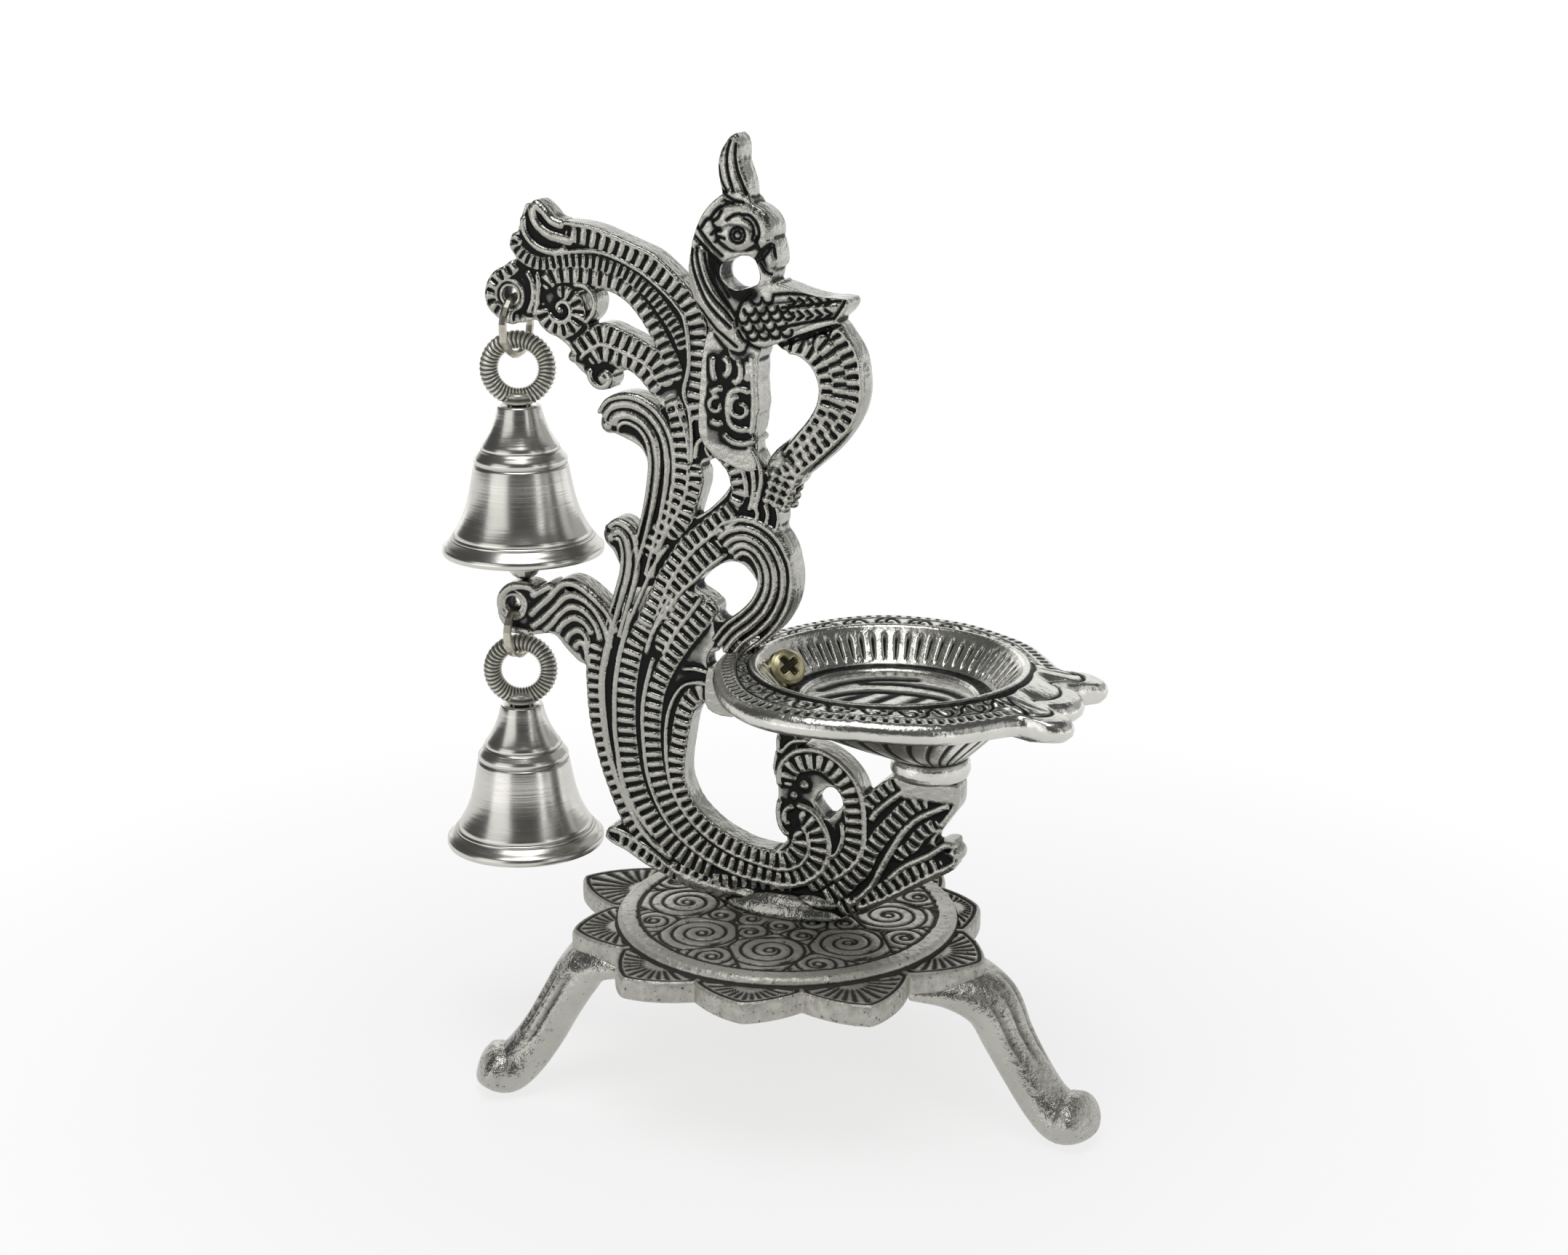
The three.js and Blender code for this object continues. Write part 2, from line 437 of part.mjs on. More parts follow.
function makeLeg(angle, rows) {
  const stations = stationsOf(rows, LEG_BEND);
  const lowest = Math.min(...stations.map(([, z, thick]) => z - thick / 2)) + SOLE_DEPTH;
  const outward = new THREE.Vector3(Math.sin(radians(angle)), -Math.cos(radians(angle)), 0);
  const across = new THREE.Vector3(-outward.y, outward.x, 0);
  const rings = stations.map(([out, z, thick, width], i) => {
    const before = stations[Math.max(i - 1, 0)];
    const after = stations[Math.min(i + 1, stations.length - 1)];
    const along = new THREE.Vector2(after[0] - before[0], after[1] - before[1]).normalize();
    const points = [];
    for (let k = 0; k < LEG_SIDES; k += 1) {
      const turn = (k * 2 * Math.PI) / LEG_SIDES;
      const up = (Math.cos(turn) * thick) / 2;
      points.push(outward.clone().multiplyScalar(out - along.y * up)
        .addScaledVector(across, (Math.sin(turn) * width) / 2)
        .add(new THREE.Vector3(0, 0, z + along.x * up - lowest)));
    }
    return points;
  });
  return loft(rings);
}

function bowlEdgeHeight(x) {
  return BOWL_TOP - EDGE_FALL - SPOUT_FALL * Math.max(0, x - SPOUT_FALL_START);
}

// Outside of the bowl, made larger by a clearance when the stem is cut to fit it
function bowlBody(extra) {
  const half = stationsOf(BOWL_OUTLINE, BOWL_BEND);
  const outline = [...half, ...half.slice(1, -1).reverse().map(([x, y]) => [x, -y])];
  const direction = outline.map(([x, y]) => new THREE.Vector2(x - WELL_X, y).normalize());
  const circle = (x, z, radius) => direction.map((d) => new THREE.Vector3(
    x + d.x * (radius + extra), d.y * (radius + extra), z));
  const edge = (inset, drop, lift) => outline.map(([x, y], i) => new THREE.Vector3(
    x - direction[i].x * (inset - extra), y - direction[i].y * (inset - extra),
    bowlEdgeHeight(x) - drop + lift));
  const coneTop = BOWL_TOP - CONE_TOP_DROP;
  return loft([
    circle(WELL_X, BOWL_TOP + extra, FLOOR_RADIUS * 0.5),
    circle(WELL_X, BOWL_TOP + extra, WELL_RADIUS + 0.6),
    edge(3.4, -0.6, extra), edge(0.7, 0, extra), edge(0, 1.1, 0), edge(0, LIP_HEIGHT - 1, 0),
    edge(1, LIP_HEIGHT, -extra), edge(4, LIP_HEIGHT + 0.6, -extra),
    circle(WELL_X, coneTop - extra, CONE_TOP_RADIUS),
    circle((WELL_X + FOOT_X) / 2, (coneTop + FOOT_BOTTOM + FOOT_HEIGHT) / 2 - 1 - extra, 16.4),
    circle(FOOT_X, FOOT_BOTTOM + FOOT_HEIGHT - extra, FOOT_RADIUS - 0.8),
    circle(FOOT_X, FOOT_BOTTOM + FOOT_HEIGHT * 0.6, FOOT_RADIUS),
    circle(FOOT_X, FOOT_BOTTOM + FOOT_HEIGHT * 0.2, FOOT_RADIUS - 0.1),
    circle(FOOT_X, FOOT_BOTTOM - extra, FOOT_RADIUS - 1),
  ]);
}

const wellFloor = BOWL_TOP - WELL_DEPTH;
const wallRun = WELL_RADIUS - FLOOR_RADIUS;
const wallLength = Math.hypot(wallRun, WELL_DEPTH);
// Unit direction out of the sloping wall beside the stem, and the point where the screw crosses it
const wallNormal = [WELL_DEPTH / wallLength, 0, wallRun / wallLength];
const wallPoint = [
  WELL_X - FLOOR_RADIUS - wallRun * BOWL_SCREW_SHARE, 0, wellFloor + WELL_DEPTH * BOWL_SCREW_SHARE];

function alongScrew(distance) {
  return wallPoint.map((value, i) => value + wallNormal[i] * distance);
}

function makeBowl() {
  const well = revolve([[wellFloor, 0], [wellFloor, FLOOR_RADIUS], [BOWL_TOP - 0.4, WELL_RADIUS - 0.4],
    [BOWL_TOP + 1, WELL_RADIUS], [BOWL_TOP + 1, 0]], 40).translate([WELL_X, 0, 0]);
  const ringBottom = wellFloor - FLOOR_RING_RISE;
  const ringTop = wellFloor + FLOOR_RING_RISE;
  const floorRing = revolve([[ringBottom, FLOOR_RING_INNER], [ringBottom, FLOOR_RING_OUTER],
    [ringTop, FLOOR_RING_OUTER - FLOOR_RING_RISE], [ringTop, FLOOR_RING_INNER + FLOOR_RING_RISE],
    [ringBottom, FLOOR_RING_INNER]], 40).translate([WELL_X, 0, 0]);
  const shankHole = rod(alongScrew(-BOWL_SCREW_LENGTH), alongScrew(HEAD_HEIGHT), SCREW_RADIUS + GAP);
  const seat = rod(alongScrew(0), alongScrew(2 * HEAD_RADIUS), HEAD_RADIUS + GAP);
  return bowlBody(0).subtract(well).add(floorRing).subtract(shankHole).subtract(seat);
}

function makeScrew(start, direction, length) {
  const place = (distance) => start.map((value, i) => value + direction[i] * distance);
  const head = rod(place(0), place(HEAD_HEIGHT), HEAD_RADIUS, 20);
  const dome = rod(place(0.2), place(HEAD_HEIGHT + 0.5), HEAD_RADIUS * 0.72, 20);
  const recess = rod(place(HEAD_HEIGHT - 0.9), place(HEAD_HEIGHT + 1), HEAD_RADIUS * 0.3, 4);
  return union([head, dome, rod(place(-length), place(0.1), SCREW_RADIUS)]).subtract(recess);
}

// A traced plate with the walls that face the view brought in to their near edge
function nearEdges(traced, depth) {
  const [x, z] = TRACED_FROM;
  const grow = 1 / (1 - depth / TRACED_DISTANCE);
  return traced.intersect(traced.translate([-x, 0, -z]).scale([grow, 1, grow]).translate([x, 0, z]));
}

// The whole stem: pierced web, feather bands, head, wing, hooks, bowl lug and foot boss
function makeStem() {
  const webs = [LOWER_WEB, MIDDLE_WEB, UPPER_WEB, HOOK_WEB].map((outline) => plate(outline, WEB_DEPTH));
  const tail = band(TAIL_WEB, WEB_DEPTH + 0.8);
  const openings = Object.values(OPENINGS).map((outline) => plate(outline, RIDGE_DEPTH * 3));
  const pierced = nearEdges(union([...webs, tail]).subtract(union(openings)), (WEB_DEPTH + RIDGE_DEPTH) / 2);
  const feathers = Object.values(FEATHERS).map((rows) => band(rows, RIDGE_DEPTH));
  const ribbon = CURL_RIDGE_OFFSETS.map(
    (offset) => band(beside(CURL_RIBBON, offset, CURL_RIDGE_WIDTH), RIDGE_DEPTH));
  const head = nearEdges(plate(HEAD, NECK_DEPTH, NECK_BEVEL), (NECK_DEPTH + RIDGE_DEPTH) / 2 - NECK_BEVEL);
  const beak = band(BEAK, NECK_DEPTH * 0.6);
  const crest = band(CREST, NECK_DEPTH * 0.7);
  const wing = nearEdges(plate(WING, RIDGE_DEPTH), RIDGE_DEPTH);
  const quills = QUILLS.map((rows) => band(rows, WING_DEPTH));
  const [seatStart, seatEnd, seatDepth] = BOWL_SEAT;
  const seatTop = FOOT_BOTTOM - GAP;
  const seat = box([seatStart, -seatDepth / 2, SEAT_ROOT], [seatEnd, seatDepth / 2, seatTop]);
  const lug = plate(LUG, LUG_DEPTH, 0, false);
  const boss = makeBoss();
  const aboveSeat = box([FOOT_X - 2 * FOOT_RADIUS, -FOOT_RADIUS, seatTop],
    [FOOT_X + 2 * FOOT_RADIUS, FOOT_RADIUS, seatTop + 2 * FOOT_HEIGHT]);
  const cuts = union([aboveSeat, bowlBody(GAP), box([-BEYOND, -BEYOND, 0], [BEYOND, BEYOND, stemBottom]),
    rod(alongScrew(-BOWL_SCREW_LENGTH - 1), alongScrew(0), SCREW_RADIUS + GAP),
    rod([0, 0, 0], [0, 0, stemBottom + BASE_SCREW_REACH + 1], SCREW_RADIUS + GAP),
    ringHole(UPPER_HOLE), ringHole(LOWER_HOLE)]);
  return union([pierced, ...feathers, ...ribbon, head, beak, crest, wing, ...quills, seat, lug, boss])
    .subtract(cuts);
}

// Hole for a ring, opened out towards both faces so that the curved wire lies in it
function ringHole([x, z]) {
  const flare = RING_HOLE_RADIUS + (RIDGE_DEPTH / 2 - RING_HOLE_LAND) * RING_HOLE_FLARE;
  return union([-1, 1].map((way) => rod([x, way * RING_HOLE_LAND, z], [x, (way * RIDGE_DEPTH) / 2, z],
    RING_HOLE_RADIUS, 16, flare))
    .concat(rod([x, -RIDGE_DEPTH, z], [x, RIDGE_DEPTH, z], RING_HOLE_RADIUS, 16)));
}

function makeBoss() {
  const rows = [[0, 1], [0.45, 0.96], [0.8, 0.8], [1, 0.5]];
  const rings = rows.map(([rise, share]) => {
    const points = [];
    for (let k = 0; k < BOSS_SIDES; k += 1) {
      const turn = (k * 2 * Math.PI) / BOSS_SIDES;
      points.push(new THREE.Vector3((Math.cos(turn) * BOSS_LENGTH * share) / 2,
        (Math.sin(turn) * BOSS_DEPTH * share) / 2, stemBottom + rise * BOSS_HEIGHT));
    }
    return points;
  });
  return loft(rings);
}

// Bell pieces, built with the rim plane at zero and the axis on Z
const crownTop = BELL_PROFILE.at(-1)[0];
const crownInner = crownTop - CROWN_THICK;
const nutTop = crownInner - GAP;
const nutBottom = nutTop - NUT_HEIGHT;
const clapperHoleHeight = nutBottom - SHANK_BELOW_NUT / 2 - 0.4;

function makeBell() {
  // every second point of the outside is enough for the inside, and the last one below the crown
  const below = BELL_PROFILE.filter(([z]) => z < crownInner);
  const inside = below.filter((point, i) => i % 2 === 0 || i === below.length - 1)
    .map(([z, r]) => [z, r - BELL_WALL]);
  const top = inside.at(-1);
  const hole = SHANK_RADIUS + GAP;
  const profile = [...BELL_PROFILE, [crownTop, hole], [crownInner, hole], [crownInner, top[1] - 0.2],
    ...inside.reverse(), BELL_PROFILE[0]];
  return revolve(profile, 24);
}

function makeLoop() {
  const meanDiameter = LOOP_HOLE + LOOP_TUBE;
  const loop = ring(meanDiameter, LOOP_TUBE, "y", 20, 8).translate([0, 0, LOOP_HEIGHT]);
  const collarBottom = crownTop + GAP;
  const collarTop = LOOP_HEIGHT - meanDiameter / 2 + COLLAR_OVERLAP;
  const collar = rod([0, 0, collarBottom], [0, 0, collarTop], COLLAR_RADIUS);
  const below = box([-meanDiameter, -meanDiameter, 0], [meanDiameter, meanDiameter, collarBottom]);
  const shankEnd = nutBottom - SHANK_BELOW_NUT;
  const shank = rod([0, 0, shankEnd], [0, 0, collarBottom + 0.5], SHANK_RADIUS, 16);
  const eye = rod([0, -2 * SHANK_RADIUS, clapperHoleHeight], [0, 2 * SHANK_RADIUS, clapperHoleHeight],
    CLAPPER_HOLE_RADIUS, 12);
  return union([loop, collar]).subtract(below).add(shank).subtract(eye);
}

function makeNut() {
  const nut = rod([0, 0, nutBottom], [0, 0, nutTop], NUT_ACROSS / Math.sqrt(3), 6);
  return nut.subtract(rod([0, 0, nutBottom - 1], [0, 0, nutTop + 1], SHANK_RADIUS + GAP, 16));
}

const eyeCentre = clapperHoleHeight - CLAPPER_EYE / 2;
const ballCentre = CLAPPER_BALL_RADIUS - CLAPPER_DROP;

function makeClapperWire() {
  const eye = ring(CLAPPER_EYE, CLAPPER_WIRE, "x", 16, 6).translate([0, 0, eyeCentre]);
  const stalk = rod([0, 0, ballCentre], [0, 0, eyeCentre - CLAPPER_EYE / 2], CLAPPER_WIRE / 2, 10);
  return eye.add(stalk);
}

function makeClapperBall() {
  const geometry = new THREE.SphereGeometry(CLAPPER_BALL_RADIUS, 12, 8);
  geometry.rotateX(Math.PI / 2);
  geometry.translate(0, 0, ballCentre);
  const bore = rod([0, 0, ballCentre - GAP], [0, 0, ballCentre + 2 * CLAPPER_BALL_RADIUS],
    CLAPPER_WIRE / 2 + GAP, 10);
  return solidOf(geometry).subtract(bore);
}

// Two turns of wire lying side by side, drawn as one ring with a groove between the turns
function makeSplitRing() {
  const half = SPLIT_WIRE / 2;
  const outer = [[-1, 0], [-0.86, 0.86], [0, 0.5], [0.86, 0.86], [1, 0]];
  const rows = [...outer.map(([z, r]) => [z * 2 * half, SPLIT_RING / 2 + r * half]),
    [0.86 * 2 * half, SPLIT_RING / 2 - 0.86 * half], [0, SPLIT_RING / 2 - 0.5 * half],
    [-0.86 * 2 * half, SPLIT_RING / 2 - 0.86 * half], [-2 * half, SPLIT_RING / 2]];
  const geometry = new THREE.LatheGeometry(rows.map(([z, r]) => new THREE.Vector2(r, z)), 22);
  geometry.rotateZ(Math.PI / 2);
  return solidOf(geometry);
}

function piece(name, solid, look) {
  const mesh = new THREE.Mesh(geometryOf(solid), new THREE.MeshStandardMaterial(look));
  mesh.name = name;
  return mesh;
}

// Ring, bell and clapper hanging under one hole of the stem
function hangingBell(side, hole, linkSize, linkWire, link) {
  const group = new THREE.Group();
  const linkTop = hole[1] - RING_HOLE_RADIUS + GAP + linkWire / 2;
  const linkBottom = linkTop - linkSize;
  const loopCentre = linkBottom + linkWire / 2 + GAP - LOOP_HOLE / 2;
  const rim = loopCentre - LOOP_HEIGHT;
  const linkMesh = piece(`${side}_${link.name}`, link.solid, RING_METAL);
  linkMesh.position.set(hole[0], 0, (linkTop + linkBottom) / 2);
  group.add(linkMesh);
  const parts = [
    piece(`${side}_bell`, makeBell(), POLISHED),
    piece(`${side}_bell_loop`, makeLoop(), LOOP_METAL),
    piece(`${side}_bell_nut`, makeNut(), STEEL),
    piece(`${side}_clapper_wire`, makeClapperWire(), STEEL),
    piece(`${side}_clapper_ball`, makeClapperBall(), POLISHED),
  ];
  for (const mesh of parts) {
    mesh.position.set(hole[0], 0, rim);
    group.add(mesh);
  }
  return group;
}

const lamp = new THREE.Group();
lamp.add(piece("lotus_base", makeBase(), CAST));
lamp.add(piece("peacock_stem", makeStem(), OXIDISED));
lamp.add(piece("oil_bowl", makeBowl(), CAST));
lamp.add(piece("bowl_screw", makeScrew(alongScrew(GAP), wallNormal, BOWL_SCREW_LENGTH), ZINC));
const washerTop = plateBottom - GAP;
const washer = rod([0, 0, washerTop - WASHER_THICK], [0, 0, washerTop], WASHER_RADIUS, 20)
  .subtract(rod([0, 0, washerTop - 2 * WASHER_THICK], [0, 0, washerTop + WASHER_THICK], SCREW_RADIUS + GAP));
lamp.add(piece("base_washer", washer, STEEL));
const headTop = washerTop - WASHER_THICK - GAP;
const baseScrew = makeScrew([0, 0, headTop], [0, 0, -1], stemBottom + BASE_SCREW_REACH - headTop);
lamp.add(piece("base_screw", baseScrew, ZINC));
lamp.add(hangingBell("upper", UPPER_HOLE, JUMP_RING, JUMP_WIRE,
  { name: "jump_ring", solid: ring(JUMP_RING, JUMP_WIRE, "x") }));
lamp.add(hangingBell("lower", LOWER_HOLE, SPLIT_RING, SPLIT_WIRE,
  { name: "split_ring", solid: makeSplitRing() }));

// The lamp stands on the floor with the middle of its outline over the origin
lamp.updateMatrixWorld(true);
const bounds = new THREE.Box3().setFromObject(lamp, true);
lamp.position.set(-(bounds.min.x + bounds.max.x) / 2, -(bounds.min.y + bounds.max.y) / 2, -bounds.min.z);

export default lamp;
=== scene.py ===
import math

import bmesh
import bpy
import numpy as np
from mathutils import Matrix, Vector


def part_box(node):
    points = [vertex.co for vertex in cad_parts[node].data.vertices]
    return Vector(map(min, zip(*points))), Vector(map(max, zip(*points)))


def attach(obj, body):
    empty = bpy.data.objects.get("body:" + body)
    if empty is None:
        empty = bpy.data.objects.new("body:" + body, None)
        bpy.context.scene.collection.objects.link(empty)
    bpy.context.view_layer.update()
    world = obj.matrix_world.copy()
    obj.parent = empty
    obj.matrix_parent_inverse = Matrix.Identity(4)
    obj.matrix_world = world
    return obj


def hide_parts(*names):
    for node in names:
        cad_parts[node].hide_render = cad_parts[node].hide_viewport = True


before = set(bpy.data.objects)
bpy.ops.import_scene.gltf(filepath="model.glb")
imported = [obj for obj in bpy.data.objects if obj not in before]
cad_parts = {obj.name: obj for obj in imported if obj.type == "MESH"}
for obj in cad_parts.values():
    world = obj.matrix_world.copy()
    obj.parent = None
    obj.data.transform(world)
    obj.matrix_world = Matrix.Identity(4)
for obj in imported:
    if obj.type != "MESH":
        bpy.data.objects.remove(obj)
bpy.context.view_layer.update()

# Peacock stem. One pierced sand casting of white metal with the same relief on both faces: a thin web
# carries ribbed feather bands and plain ridges. It is dipped in dark oxide, then polished on its high
# places, so every groove stays near black. It stands on the base's medallion, held by a screw below.
MM = 0.001
TURN = 2 * math.pi
washer_low, washer_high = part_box("base_washer")
STEM_AXIS = (washer_low + washer_high) / 2
WEB_DEPTH = 5.0
BAND_DEPTH = 6.3
RIB_PITCH = 2.15
NOTCH_DEPTH = 0.85
RIM_OF_BAND = 1.2
NOTCH_WIDTH = 0.4
# a band's rounded end is this share of its width long, and its cross-section rises by no more than this
TIP_SHARE = 0.6
HIGHEST_CROWN = 1.25
CASTING_VOXEL = 0.25
# a groove is how far the skin moves when it is relaxed a little (fine) and a lot (wide)
FINE_STEPS, FINE_GAIN = 5, 12.0
WIDE_STEPS, WIDE_GAIN = 36, 2.6
GROOVE_RANGE = (-0.3, 1.2)
MEDALLION_TOP = 37.2
# the ground between the column's scrolls: left, right, low and high
COLUMN = (-16, -4, 136, 155)
COLUMN_GROUND = 3.7
# the outlines were traced as they look from this far right, this high and this far in front of the stem
TRACED_FROM = np.array([169.4, 232.1])
TRACED_DISTANCE = 429


class Wire:
    """A socket in a finish. Arithmetic on it adds the Math nodes."""

    def __init__(self, finish, socket):
        self.finish = finish
        self.socket = socket

    def maths(self, operation, *values, clamp=False):
        return self.finish.node("ShaderNodeMath", {"operation": operation, "use_clamp": clamp}, values)

    def __add__(self, other):
        return self.maths("ADD", self, other)

    def __sub__(self, other):
        return self.maths("SUBTRACT", self, other)

    def __rsub__(self, other):
        return self.maths("SUBTRACT", other, self)

    def __mul__(self, other):
        return self.maths("MULTIPLY", self, other)

    __radd__ = __add__
    __rmul__ = __mul__

    def kept_in(self):
        """The same value, cut off at 0 and 1."""
        return self.maths("ADD", self, 0.0, clamp=True)


class Finish:
    """A finish on one Principled shader. Fixed sockets are given by name, and drive() links the rest."""

    def __init__(self, name, **fixed):
        self.material = bpy.data.materials.new(name)
        self.material.use_nodes = True
        self.tree = self.material.node_tree
        self.shader = self.tree.nodes["Principled BSDF"]
        self.place = self.node("ShaderNodeTexCoord", out="Object")
        self.drive(**fixed)

    def node(self, kind, settings=None, values=(), out=0):
        node = self.tree.nodes.new(kind)
        for name, value in (settings or {}).items():
            setattr(node, name, value)
        for name, value in (values.items() if isinstance(values, dict) else enumerate(values)):
            self.join(value, node.inputs[name])
        return Wire(self, node.outputs[out])

    def join(self, value, socket):
        if isinstance(value, Wire):
            self.tree.links.new(value.socket, socket)
        else:
            socket.default_value = value

    def drive(self, **sockets):
        for name, value in sockets.items():
            self.join(value, self.shader.inputs[name.replace("_", " ")])

    def noise(self, size_mm, detail=3.0, at=None):
        """Noise from 0 to 1 whose blotches are about that many millimetres across."""
        return self.node("ShaderNodeTexNoise", None,
                         {"Vector": at or self.place, "Scale": 1 / (size_mm * MM), "Detail": detail})

    def stretched(self, x, y, z):
        """Object coordinates scaled on each axis, for grain that runs one way."""
        return self.node("ShaderNodeMapping", None, {"Vector": self.place, "Scale": (x, y, z)})

    def blend(self, share, colour, other):
        return self.node("ShaderNodeMix", {"data_type": "RGBA"}, {0: share, 6: colour, 7: other}, out=2)

    def bump(self, height, depth_mm, strength=1.0):
        return self.node("ShaderNodeBump", None,
                         {"Strength": strength, "Distance": depth_mm * MM, "Height": height})

    def mark(self, name):
        """A vertex attribute of the mesh."""
        return self.node("ShaderNodeAttribute", {"attribute_name": name}, out="Fac")


def rgb(red, green, blue):
    return (red, green, blue, 1.0)


def oxidised(name, bright, dark, polish, skin_mm, patina, pits=0.0, sheen=1.0):
    """White metal with oxide in its grooves, polished where it stands proud.

    polish is the clean metal's roughness, skin_mm its bump's depth, patina how blotchy the oxide lies,
    pits how much of it small pits hold, and sheen how metallic the clean metal is.
    """
    finish = Finish(name)
    groove = finish.mark("groove")
    blotch = finish.noise(1.6, 4)
    grain = finish.noise(0.32, 2)
    stain = finish.noise(9.0, 3)
    pit = ((finish.noise(0.8, 1) - 0.66) * 9.0).kept_in()
    # groove is oxide in hollows, plus painted shade on the peacock's head and painted shadow at the
    # medallion's foot
    oxide = (groove * 1.7 + (blotch - 0.5) * (0.95 * patina) + (grain - 0.5) * 0.4 * patina
             + pit * pits - 0.02).kept_in()
    worn = finish.blend(stain, bright, tuple(0.7 * c for c in bright[:3]) + (1.0,))
    finish.drive(
        Base_Color=finish.blend(oxide, worn, dark),
        Metallic=sheen - 0.15 * oxide,
        Roughness=(polish + oxide * 0.34 + (grain - 0.5) * 0.16 + (stain - 0.5) * 0.1).kept_in(),
        Normal=finish.bump(grain * 0.35 + blotch * 2.3, skin_mm, 0.9))
    return finish.material


stem_finish = oxidised("oxidised_stem", rgb(0.44, 0.437, 0.4), rgb(0.009, 0.01, 0.009),
                       polish=0.15, skin_mm=0.15, patina=0.8)


def smooth_line(rows, spacing, closed=False):
    """Even stations on a smooth line through the rows, with the distance to each."""
    rows = np.array(rows, float)
    if closed:
        knots = np.vstack([rows[-1:], rows, rows[:2]])
    else:
        knots = np.vstack([2 * rows[0] - rows[1], rows, 2 * rows[-1] - rows[-2]])
    t = np.linspace(0, 1, 12, endpoint=False)[:, None]
    fine = np.vstack([b + 0.5 * t * (c - a + t * (2 * a - 5 * b + 4 * c - d + t * (3 * (b - c) + d - a)))
                      for a, b, c, d in zip(knots, knots[1:], knots[2:], knots[3:])] + [knots[-2:-1]])
    reach = np.concatenate([[0], np.cumsum(np.hypot(*np.diff(fine[:, :2], axis=0).T))])
    even = np.linspace(0, reach[-1], max(int(round(reach[-1] / spacing)), 4) + 1)
    return np.stack([np.interp(even, reach, column) for column in fine.T], 1), even


def flat_grid(along, across):
    """A sheet of faces, with each vertex's place on it from 0 to 1 both ways."""
    sheet = bmesh.new()
    bmesh.ops.create_grid(sheet, x_segments=along, y_segments=across, size=0.5)
    place = np.array([v.co for v in sheet.verts]) + 0.5
    return sheet, place[:, 0], place[:, 1]


def shape_grid(sheet, points, join=1e-5):
    """Moves the sheet's vertices to these points and welds the edges that meet."""
    for vert, point in zip(sheet.verts, points):
        vert.co = point
    bmesh.ops.remove_doubles(sheet, verts=sheet.verts, dist=join)
    bmesh.ops.recalc_face_normals(sheet, faces=sheet.faces)
    return sheet


def heading(points):
    """The unit direction along a line at each of its points."""
    along = np.gradient(points, axis=0)
    return along / np.hypot(*along.T)[:, None]


def strand(rows, width, depth=BAND_DEPTH, pitch=None):
    """A band through the casting's whole depth: round when plain, flat with ticks and a rim at a pitch."""
    step, sides, squareness, crown_share = (0.32, 32, 3.4, 0.42) if pitch else (0.7, 16, 2.0, 0.6)
    line, reach = smooth_line([(*row[:2], row[2] if len(row) > 2 else width) for row in rows], step)
    along = heading(line[:, :2])
    from_end = np.minimum(reach, reach[-1] - reach)
    sheet, u, v = flat_grid(len(line) - 1, sides)
    i = np.rint(u * (len(line) - 1)).astype(int)
    turn = v * TURN
    tip = from_end / (np.maximum(line[:, 2], 0.4) * TIP_SHARE)
    full = np.sqrt(1 - (1 - np.clip(tip, 0, 1)) ** 2)
    share = np.abs(np.cos(turn))
    side = line[i, 2] * full[i] / 2 * np.cos(turn)
    lift = np.sign(np.round(np.sin(turn), 6))
    crown = np.minimum(crown_share * line[i, 2], HIGHEST_CROWN)
    fall = crown * (1 - (1 - share ** squareness) ** (1 / squareness))
    if pitch:
        phase = reach[i] % pitch - pitch / 2
        ends = np.clip(from_end[i] / 1.2, 0, 1)
        inside = np.clip((0.88 - share) / 0.12, 0, 1)
        fall += NOTCH_DEPTH * np.exp(-(phase / NOTCH_WIDTH) ** 2) * ends * inside
    out = lift * (depth / 2 * (0.72 + 0.28 * full[i]) - fall)
    x = line[i, 0] - along[i, 1] * side
    z = line[i, 1] + along[i, 0] * side
    return shape_grid(sheet, np.stack([x, out, z], 1))


def ribbed(rows, width, pitch=RIB_PITCH):
    """A feather band: the traced width is that of its ticks, and a narrow rim runs down each side."""
    wider = [(*row[:2], row[2] + RIM_OF_BAND) if len(row) > 2 else row for row in rows]
    return strand(wider, width + RIM_OF_BAND, pitch=pitch)


def without_loops(line, longest=14):
    """The closed line without the small loops that an offset leaves at its corners."""
    kept = [np.array(point) for point in line]
    k = 0
    while k < len(kept):
        here, there = kept[k], kept[(k + 1) % len(kept)]
        for ahead in range(longest, 1, -1):
            first, last = kept[(k + ahead) % len(kept)], kept[(k + ahead + 1) % len(kept)]
            step, other = there - here, last - first
            turned = step[0] * other[1] - step[1] * other[0]
            if abs(turned) < 1e-9:
                continue
            apart = first - here
            along = (apart[0] * other[1] - apart[1] * other[0]) / turned
            across = (apart[0] * step[1] - apart[1] * step[0]) / turned
            if 0 < along < 1 and 0 < across < 1:
                count = len(kept)
                gone = {(k + 1 + j) % count for j in range(ahead)}
                crossing = here + along * step
                kept = [crossing if j == (k + 1) % count else point for j, point in enumerate(kept)
                        if j not in gone or j == (k + 1) % count]
                break
        k += 1
    return np.array(kept)


def near_edge(outline, depth, outward=1):
    """The outline with the walls that face the view brought in from their far edge to their near one."""
    line = smooth_line(outline, 1.0, True)[0][:-1]
    along = np.roll(line, -1, axis=0) - np.roll(line, 1, axis=0)
    away = np.stack([along[:, 1], -along[:, 0]], 1) / np.hypot(*along.T)[:, None]
    turning = np.sum(line[:, 0] * np.roll(line[:, 1], -1) - line[:, 1] * np.roll(line[:, 0], -1))
    away *= outward * np.sign(turning)
    shift = (TRACED_FROM - line) * (depth / TRACED_DISTANCE)
    facing = np.einsum("ij,ij->i", away, shift) / np.hypot(*shift.T)
    return without_loops(line - shift * np.clip(facing * 3, 0, 1)[:, None])


